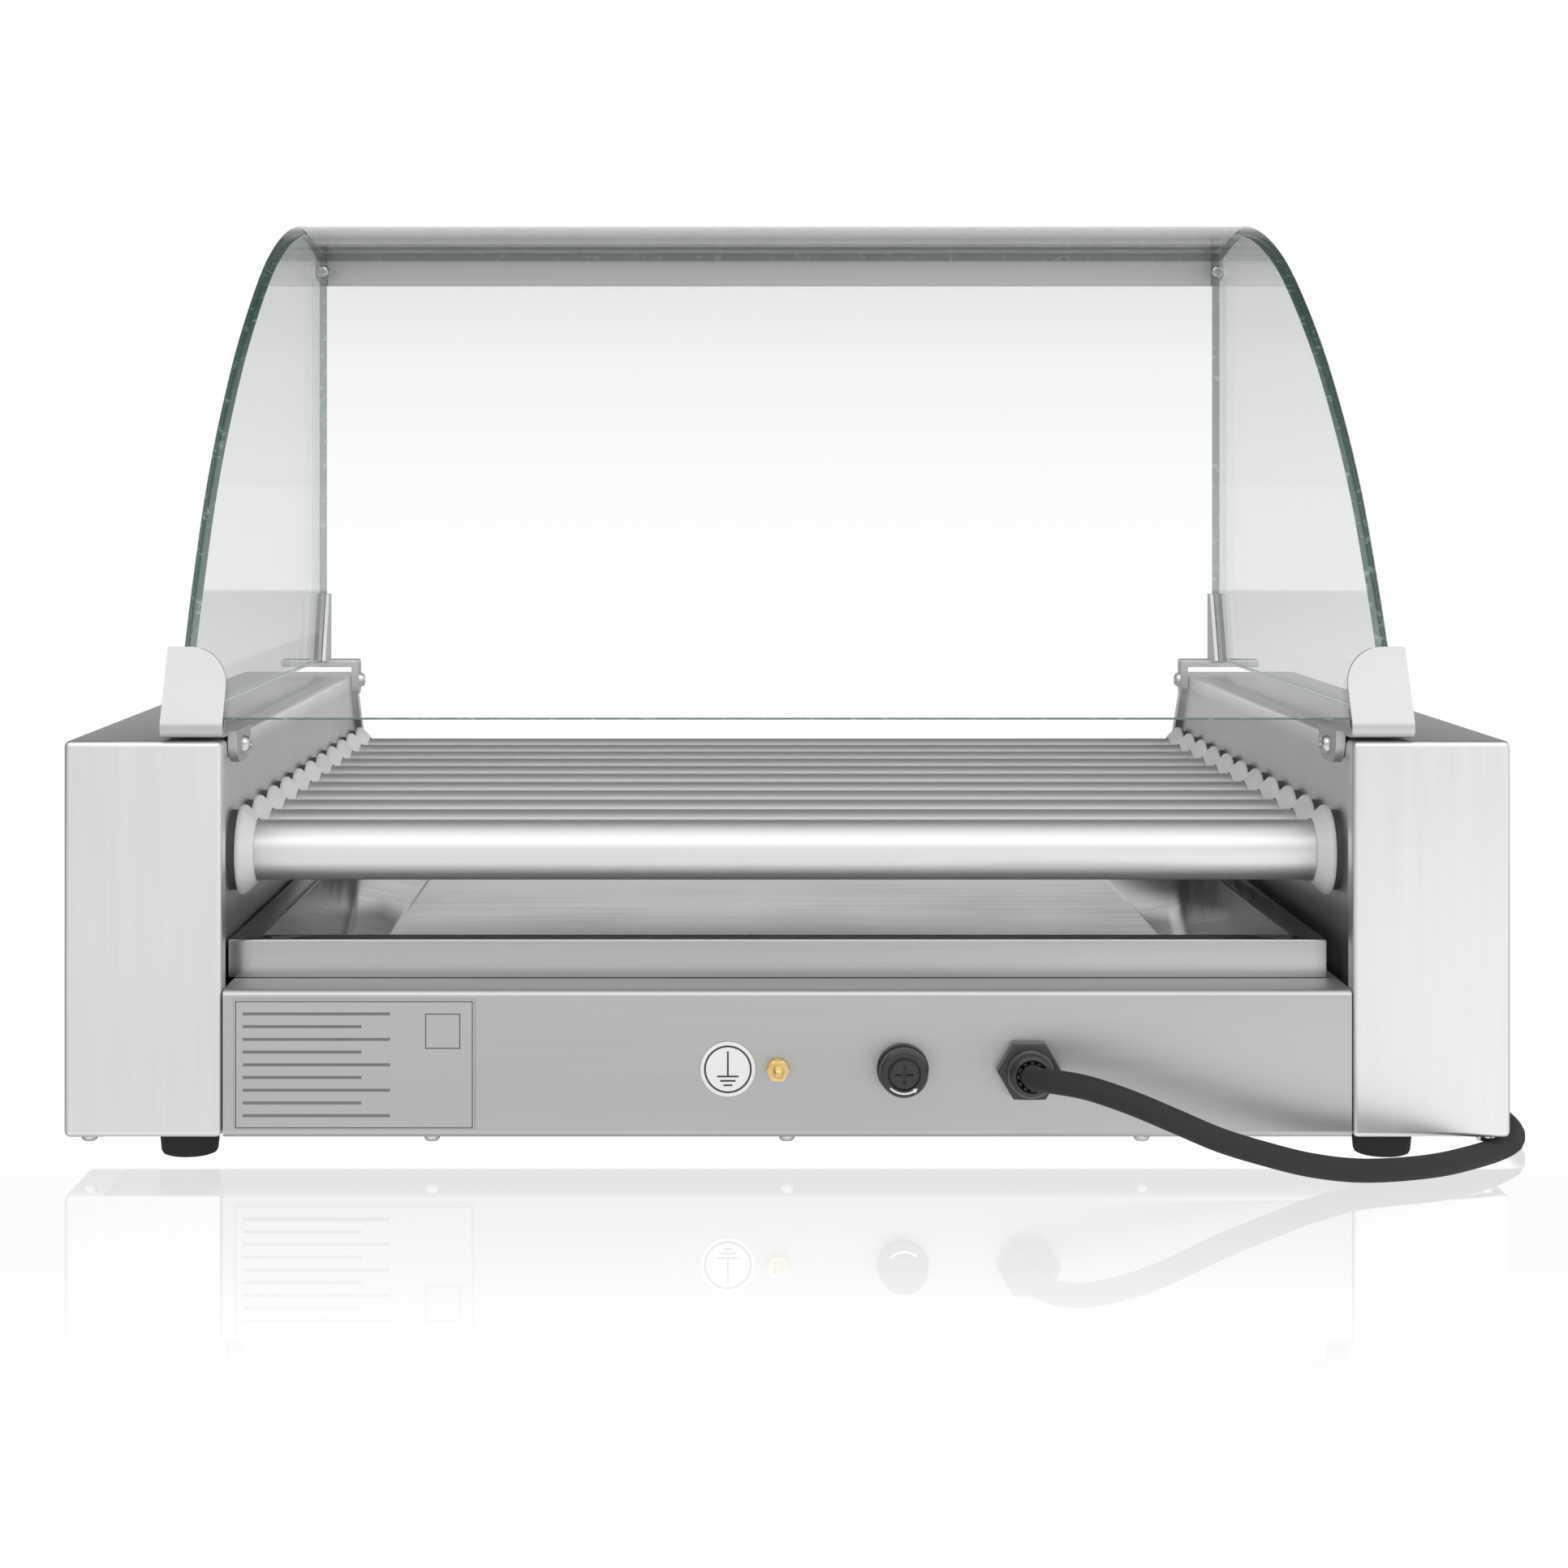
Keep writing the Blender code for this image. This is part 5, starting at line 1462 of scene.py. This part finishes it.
    def far_bracket(self, side: Side) -> bpy.types.Object:
        """The bar on the housing, the channel round the pane's far edge and the tab."""
        name = f"far_bracket_{side.label}"
        low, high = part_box(name)
        bar_low, bar_top = 0.1747, 0.1787
        y_low = BODY.near + self.far_place - 0.006
        y_high = y_low + 0.012
        bracket = Shape().box((low.x, y_low, bar_low), (high.x, y_high, bar_top)).rounded(0.0008, 2)
        inside = self.half - self.thickness - GAP
        outside = self.half + GAP
        back = BODY.near + self.back + GAP
        cheek = [(back + self.bracket_thickness, bar_top - 0.002), (back + self.bracket_thickness, high.z),
                 (back - 0.006, high.z), (back - 0.022, bar_top), (y_low + 0.002, bar_top - 0.002)]
        x_low, x_high = side.span(inside - self.bracket_thickness, outside + self.bracket_thickness)
        channel = Shape().prism(cheek, Axis.X, x_low, x_high)
        room = side.span(inside, outside)
        channel.combined(Shape().box((room[0], back - 0.044, self.bottom - GAP), (room[1], back,
                                                                                  high.z + GAP)),
                         Joining.CUT)
        bracket.combined(channel, Joining.ADD)
        tab = side.span(BODY.mouth - GAP - self.tab_thickness, BODY.mouth - GAP)
        soft = 0.004
        outline = [(y_low, bar_top - 0.002), *arc((y_low + soft, low.z + soft), soft, 180.0, 270.0),
                   *arc((y_high - soft, low.z + soft), soft, 270.0, 360.0), (y_high, bar_top - 0.002)]
        bracket.combined(Shape().prism(outline, Axis.X, *tab), Joining.ADD)
        return bracket.piece(f"{name}_folded", BRACKET_STEEL, stands_for=[name])

    def screws(self) -> bpy.types.Object:
        """The screws of the tabs and of the rail."""
        places = []
        rail_low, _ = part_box("top_rail")
        for side in Side:
            inner = side.value * (BODY.mouth - GAP - self.tab_thickness)
            inward = (-side.value, 0.0, 0.0)
            places.append(((inner, BODY.near + self.tab_from_near + self.tab_depth / 2, 0.1665), inward))
            places.append(((inner, BODY.near + self.far_place, 0.1675), inward))
            places.append(((side.value * 0.2415, rail_low.y, 0.3880), (0.0, -1.0, 0.0)))
        return PanScrew().group(places).piece("hood_screws", SCREW_STEEL)


@dataclass
class CordPanel:
    """What is on the panel at the cord's side."""

    def build(self) -> list[bpy.types.Object]:
        """Makes the plate, the label, the stud, the fuse and the gland."""
        return [*self.data_plate(), *self.ground_label(), self.stud(), *self.fuse(), self.gland()]

    @staticmethod
    def centre(node: str) -> Flat:
        """The (x, z) middle of a node."""
        low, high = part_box(node)
        return ((low.x + high.x) / 2, (low.z + high.z) / 2)

    def data_plate(self) -> list[bpy.types.Object]:
        """The plate with its border, evenly spaced plain bars and an empty square."""
        low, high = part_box("data_plate")
        plate = Shape().box(low, high)
        made = [plate.piece("data_plate_metal", PLATE_METAL, stands_for=["data_plate"], edge=0.00015)]
        ink = Shape()
        face = low.y
        depth = 0.00006
        line = 0.00035
        inset = 0.0007
        x0, x1, z0, z1 = low.x + inset, high.x - inset, low.z + inset, high.z - inset
        for a, b in (((x0, z0), (x1, z0 + line)), ((x0, z1 - line), (x1, z1)), ((x0, z0), (x0 + line, z1)),
                     ((x1 - line, z0), (x1, z1))):
            ink.box((a[0], face - depth, a[1]), (b[0], face, b[1]))
        made.append(ink.piece("data_plate_border", BLACK_INK))
        bars = Shape()
        spacing = (z1 - z0) / 10
        for row in range(9):
            reach = (x1 - x0) * (0.50 if row % 2 else 0.62)
            middle = z1 - spacing * (row + 1)
            bars.box((x0 + 0.003, face - depth, middle - 0.0006), (x0 + 0.003 + reach, face, middle + 0.0006))
        made.append(bars.piece("data_plate_bars", GREY_INK))
        corner = Shape()
        side = 0.014
        right, top = x1 - 0.005, z1 - 0.005
        for start, end in (((right - side, top - line), (right, top)),
                           ((right - side, top - side), (right, top - side + line)),
                           ((right - side, top - side), (right - side + line, top)),
                           ((right - line, top - side), (right, top))):
            corner.box((start[0], face - depth, start[1]), (end[0], face, end[1]))
        made.append(corner.piece("data_plate_square", BLACK_INK))
        return made

    def ground_label(self) -> list[bpy.types.Object]:
        """The white disc with its ring and the ground symbol."""
        low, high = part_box("ground_label")
        x, z = self.centre("ground_label")
        radius = (high.x - low.x) / 2
        disc = Shape().turned(((low.y, radius - 0.0001), (low.y + 0.0001, radius), (high.y, radius)),
                              Axis.Y, (x, z),
                              64)
        made = [disc.piece("ground_label_disc", LABEL_PAPER, stands_for=["ground_label"])]
        depth = 0.00006
        ink = Shape()
        outer, inner = radius * 0.87, radius * 0.80
        ink.turned(((low.y, inner), (low.y - depth, inner), (low.y - depth, outer), (low.y, outer)), Axis.Y,
                   (x, z),
                   64, closed=True)
        thick = 0.0007
        for half, up, tall in ((thick / 2, radius * 0.21, radius * 0.44), (radius * 0.39, -radius * 0.26,
                                                                           thick / 2),
                               (radius * 0.28, -radius * 0.42, thick / 2), (radius * 0.16, -radius * 0.58,
                                                                            thick / 2)):
            ink.box((x - half, low.y - depth, z + up - tall), (x + half, low.y, z + up + tall))
        made.append(ink.piece("ground_label_print", BLACK_INK))
        return made

    def stud(self) -> bpy.types.Object:
        """The brass stud with its washer and its nut."""
        low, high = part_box("ground_stud")
        centre = self.centre("ground_stud")
        face = BODY.near - GAP
        profile = [(low.y, 0.0009), (low.y + 0.0006, 0.0018)]
        pitch = 0.0007
        y = low.y + 0.0009
        while y < face - 0.0035:
            profile += [(y, 0.0020), (y + pitch / 2, 0.00165)]
            y += pitch
        profile += [(face, 0.0018), (high.y, 0.0018)]
        stud = Shape().turned(profile, Axis.Y, centre, 24)
        stud.copies(Shape().turned(((face, 0.0044), (face - 0.0007, 0.0044), (face - 0.0008, 0.0021),
                                    (face, 0.0021)), Axis.Y, centre, 32, closed=True))
        hexagon = nut(Axis.Y, centre, 0.008, face - 0.0043, face - 0.0008)
        stud.copies(hexagon)
        return stud.piece("ground_stud_turned", BRASS, stands_for=["ground_stud"])

    def fuse(self) -> list[bpy.types.Object]:
        """The holder, its cap with a cross recess, and the arrow that shows which way it turns."""
        x, z = self.centre("fuse_holder")
        low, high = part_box("fuse_holder")
        cap_low, cap_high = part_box("fuse_cap")
        flange = (high.x - low.x) / 2
        face = BODY.near - GAP
        profile = ((low.y, 0.0047), (low.y, flange - 0.0006), (low.y + 0.0005, flange), (face, flange),
                   (face, 0.0062),
                   (high.y, 0.0062), (high.y, 0.0047))
        made = [Shape().turned(profile, Axis.Y, (x, z), closed=True).piece("fuse_holder_moulded",
                                                                           BLACK_PLASTIC,
                                                                        stands_for=["fuse_holder"])]
        radius = (cap_high.x - cap_low.x) / 2
        back = low.y - GAP
        front = cap_low.y
        rim = front + 0.0008
        radii = [radius - (0.00025 if i % 2 else 0.0) for i in range(96)]
        cross = Shape()
        for across, up in ((0.0036, 0.0006), (0.0006, 0.0036)):
            cross.box((x - across, front - 0.001, z - up), (x + across, front + 0.0013, z + up))
        disc = Shape().turned(((front, 0.0052), (front + 0.0003, 0.0055), (rim + 0.002, 0.0055)), Axis.Y,
                              (x, z), 64)
        disc.combined(cross, Joining.CUT)
        ring = Shape().turned(((rim + 0.002, radius - 0.0006), (rim + 0.0005, radius - 0.0003),
                               (rim, radius - 0.0010), (rim, 0.0066), (rim + 0.0008, 0.0062),
                               (rim + 0.002, 0.0062)), Axis.Y, (x, z), 96, closed=True)
        body = Shape().toothed(radii, Axis.Y, (x, z), rim + 0.0008, back)
        body.copies(ring).copies(disc)
        stem = Shape().turned(((back - 0.0005, 0.0041), (cap_high.y, 0.0041)), Axis.Y, (x, z), 32)
        body.copies(stem)
        made.append(body.piece("fuse_cap_moulded", BLACK_PLASTIC, "fuse_cap", stands_for=["fuse_cap"]))
        arrow = Shape()
        middle = 0.0078
        sweep = arc((x, z), middle + 0.0004, 225.0, 300.0, 16) + arc((x, z), middle - 0.0004, 300.0, 225.0,
                                                                     16)
        arrow.prism(sweep, Axis.Y, rim - 0.00006, rim + 0.0002)
        tip = arc((x, z), middle, 313.0, 313.0, 1)[0]
        wings = [arc((x, z), middle + shift, 300.0, 300.0, 1)[0] for shift in (0.0010, -0.0010)]
        arrow.prism([tip, *wings], Axis.Y, rim - 0.00006, rim + 0.0002)
        made.append(arrow.piece("fuse_cap_arrow", WHITE_INK, "fuse_cap"))
        return made

    def gland(self) -> bpy.types.Object:
        """The hexagon against the panel, the domed nut with its fingers, and the thread inside."""
        low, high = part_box("cable_gland")
        centre = self.centre("cable_gland")
        face = BODY.near - GAP
        across = (high.z - low.z)
        gland = nut(Axis.Y, centre, across, face - 0.0060, face)
        dome = 0.0095
        profile = [(face - 0.0055, dome - 0.0002), (face - 0.0095, dome)]
        profile += [(face - 0.0095 - 0.0062 * math.sin(a), 0.0066 + (dome - 0.0066) * math.cos(a))
                    for a in (math.radians(15 * i) for i in range(1, 7))]
        profile += [(low.y + 0.0006, 0.0060), (low.y + 0.0030, 0.0053), (face - 0.0055, 0.0053)]
        shell = Shape().turned(profile, Axis.Y, centre, 64, closed=True)
        gland.copies(shell)
        finger = Shape().box((0.0049, -0.0007, 0.0), (0.0060, 0.0007, 0.0042)).rounded(0.0003, 2)
        to_axis = Matrix.Translation((centre[0], low.y, centre[1])) @ Matrix.Rotation(-math.pi / 2, 4, "X")
        gland.copies(finger, [to_axis @ Matrix.Rotation(2 * math.pi * i / 12, 4, "Z") for i in range(12)])
        thread = [(face - 0.001, 0.0060)]
        y = BODY.near + SHEET
        while y < high.y - 0.0008:
            thread += [(y, 0.0062), (y + 0.0006, 0.0056)]
            y += 0.0012
        thread += [(high.y, 0.0056), (high.y, 0.0050), (face - 0.001, 0.0050)]
        gland.copies(Shape().turned(thread, Axis.Y, centre, 32, closed=True))
        return gland.piece("cable_gland_moulded", BLACK_PLASTIC, stands_for=["cable_gland"])


@dataclass
class OperatorPanel:
    """What is on the panel at the operator's side."""

    def build(self) -> list[bpy.types.Object]:
        """Makes the knobs, the switches and the lamps, and finishes the thermostats."""
        made = []
        for number in (1, 2):
            body = frame["nodes"][f"thermostat_{number}"]
            wear(body, ZINC_STEEL)
            made += [body, *self.knob(number), self.switch(number), *self.rocker(number), self.lamp(number)]
        return made

    def knob(self, number: int) -> list[bpy.types.Object]:
        """A fluted knob on a skirt, its pointer, and the scale of ticks round it."""
        node = f"knob_{number}"
        low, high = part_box(node)
        x, z = (low.x + high.x) / 2, (low.z + high.z) / 2
        face = BODY.far
        skirt = (high.x - low.x) / 2
        knob = Shape()
        knob.turned(((face + 0.0006, skirt - 0.0004), (face + 0.0012, skirt), (face + 0.0026, skirt),
                     (face + 0.0038, skirt - 0.0022), (face + 0.0044, skirt - 0.005)), Axis.Y, (x, z), 72)
        rings = []
        for y, scale in ((face + 0.004, 1.0), (face + 0.008, 0.97), (high.y - 0.0016, 0.92),
                         (high.y - 0.0005, 0.88),
                         (high.y, 0.80)):
            ring = []
            for i in range(96):
                angle = 2 * math.pi * i / 96
                radius = (0.0128 - 0.0007 * (0.5 - 0.5 * math.cos(12 * angle))) * scale
                ring.append((x + radius * math.cos(angle), y, z + radius * math.sin(angle)))
            rings.append(ring)
        knob.rings(rings)
        knob.turned(((face - 0.0139, 0.0028), (face + 0.001, 0.0028)), Axis.Y, (x, z), 24)
        made = [knob.piece(f"{node}_moulded", BLACK_PLASTIC, node, stands_for=[node])]
        pointer = Shape().box((x - 0.0007, high.y - 0.0004, z + 0.003), (x + 0.0007, high.y + 0.0001,
                                                                         z + 0.0098))
        made.append(pointer.piece(f"{node}_pointer", WHITE_INK, node))
        ticks = Shape()
        for i in range(11):
            angle = math.radians(225.0 - 27.0 * i)
            length = 0.0030 if i % 5 == 0 else 0.0018
            bar = Shape().box((0.0196, -0.00006, -0.00025), (0.0196 + length, 0.0, 0.00025))
            ticks.copies(bar, [Matrix.Translation((x, face, z)) @ Matrix.Rotation(math.pi, 4, "Z")
                               @ Matrix.Rotation(angle, 4, "Y")])
        made.append(ticks.piece(f"{node}_scale", BLACK_INK))
        return made

    def switch(self, number: int) -> bpy.types.Object:
        """A switch's bezel and its housing behind the panel."""
        node = f"switch_housing_{number}"
        low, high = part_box(node)
        face = BODY.far + GAP
        x, z = (low.x + high.x) / 2, (low.z + high.z) / 2
        bezel = Shape().box((low.x, face, low.z), (high.x, high.y, high.z)).rounded(0.0008, 3)
        bezel.combined(Shape().box((x - 0.014, low.y, z - 0.011), (x + 0.014, face + 0.001, z + 0.011)),
                       Joining.ADD)
        room = Shape().box((x - 0.0115, face - 0.011, z - 0.00975), (x + 0.0115, face + 0.004, z + 0.00975))
        bezel.combined(room, Joining.CUT)
        return bezel.piece(f"{node}_moulded", BLACK_PLASTIC, stands_for=[node])

    def rocker(self, number: int) -> list[bpy.types.Object]:
        """A dished rocker with its two marks."""
        node = f"rocker_{number}"
        low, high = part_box(node)
        x = (low.x + high.x) / 2
        pin = next(j["pos_m"] for j in frame["joints"] if j["child"] == node)
        tilt = Matrix.Rotation(math.radians(-8.0), 2)
        long = 0.00815
        face = [(0.0034 + 0.0016 * (up / long) ** 2, up) for up in [long * (i / 8 - 1) for i in range(17)]]
        outline = face + [(0.001, long), (-0.004, long / 4), (-0.004, -long / 4), (0.001, -long)]
        section = [tuple(Vector(pin[1:]) + tilt @ Vector(point)) for point in outline]
        rocker = Shape().prism(section, Axis.X, low.x, high.x)
        made = [rocker.piece(node + "_moulded", BLACK_PLASTIC, node, stands_for=[node], edge=0.0003)]
        marks = Shape()
        for up, width, height in ((0.0052, 0.0004, 0.0015), (-0.0052, 0.0, 0.0013)):
            spot = Vector(pin[1:]) + tilt @ Vector((0.0034 + 0.0016 * (up / long) ** 2 + 0.00005, up))
            lie = Matrix.Translation((x,
                                      *spot)) @ Matrix.Rotation(math.radians(-8.0 + 12.0 * math.copysign(1,
                                                                                                         up)),
                                                                   4, "X")
            if width:
                mark = Shape().box((-width, -0.0002, -height), (width, 0.0001, height))
            else:
                mark = Shape().turned(((-0.0002, height), (0.0001, height), (0.0001, height - 0.0004),
                                       (-0.0002, height - 0.0004)), Axis.Y, (0.0, 0.0), 32, closed=True)
            marks.copies(mark, [lie])
        made.append(marks.piece(node + "_marks", WHITE_INK, node))
        return made

    def lamp(self, number: int) -> bpy.types.Object:
        """A pilot light with a domed lens."""
        node = f"pilot_light_{number}"
        low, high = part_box(node)
        x, z = (low.x + high.x) / 2, (low.z + high.z) / 2
        face = BODY.far + GAP
        rim = (high.x - low.x) / 2
        dome = [(high.y - 0.0024 * (1 - math.sin(a)), 0.0044 * math.cos(a))
                for a in (math.radians(18 * i) for i in range(5))]
        profile = [(low.y, 0.0045), (face, 0.0045), (face, rim), (face + 0.0008, rim), (face + 0.0013,
                                                                                        rim - 0.0006),
                   (face + 0.0013, 0.0046), *dome]
        return Shape().turned(profile, Axis.Y, (x, z), 40).piece(f"{node}_lens", RED_LENS, stands_for=[node])


def wear(node: bpy.types.Object, finish: Finish) -> None:
    """Gives a node of the frame a finish."""
    node.data.materials.clear()
    node.data.materials.append(finish.material())


def main() -> None:
    """Builds the scene, one sub-assembly after the other."""
    logging.basicConfig(level=logging.INFO, format="%(name)s: %(message)s", stream=sys.stdout)
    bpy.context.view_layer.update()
    assemblies = [Studio(), PowerCord(), Base(), Housing(Side.LEFT), Housing(Side.RIGHT), RollerDeck(),
                  DripTray(), Hood(), CordPanel(), OperatorPanel()]
    for assembly in assemblies:
        for piece in assembly.build():
            log.info("%s: %s, rides on %s", type(assembly).__name__, piece.name, piece["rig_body"])


if __name__ == "__main__":
    main()
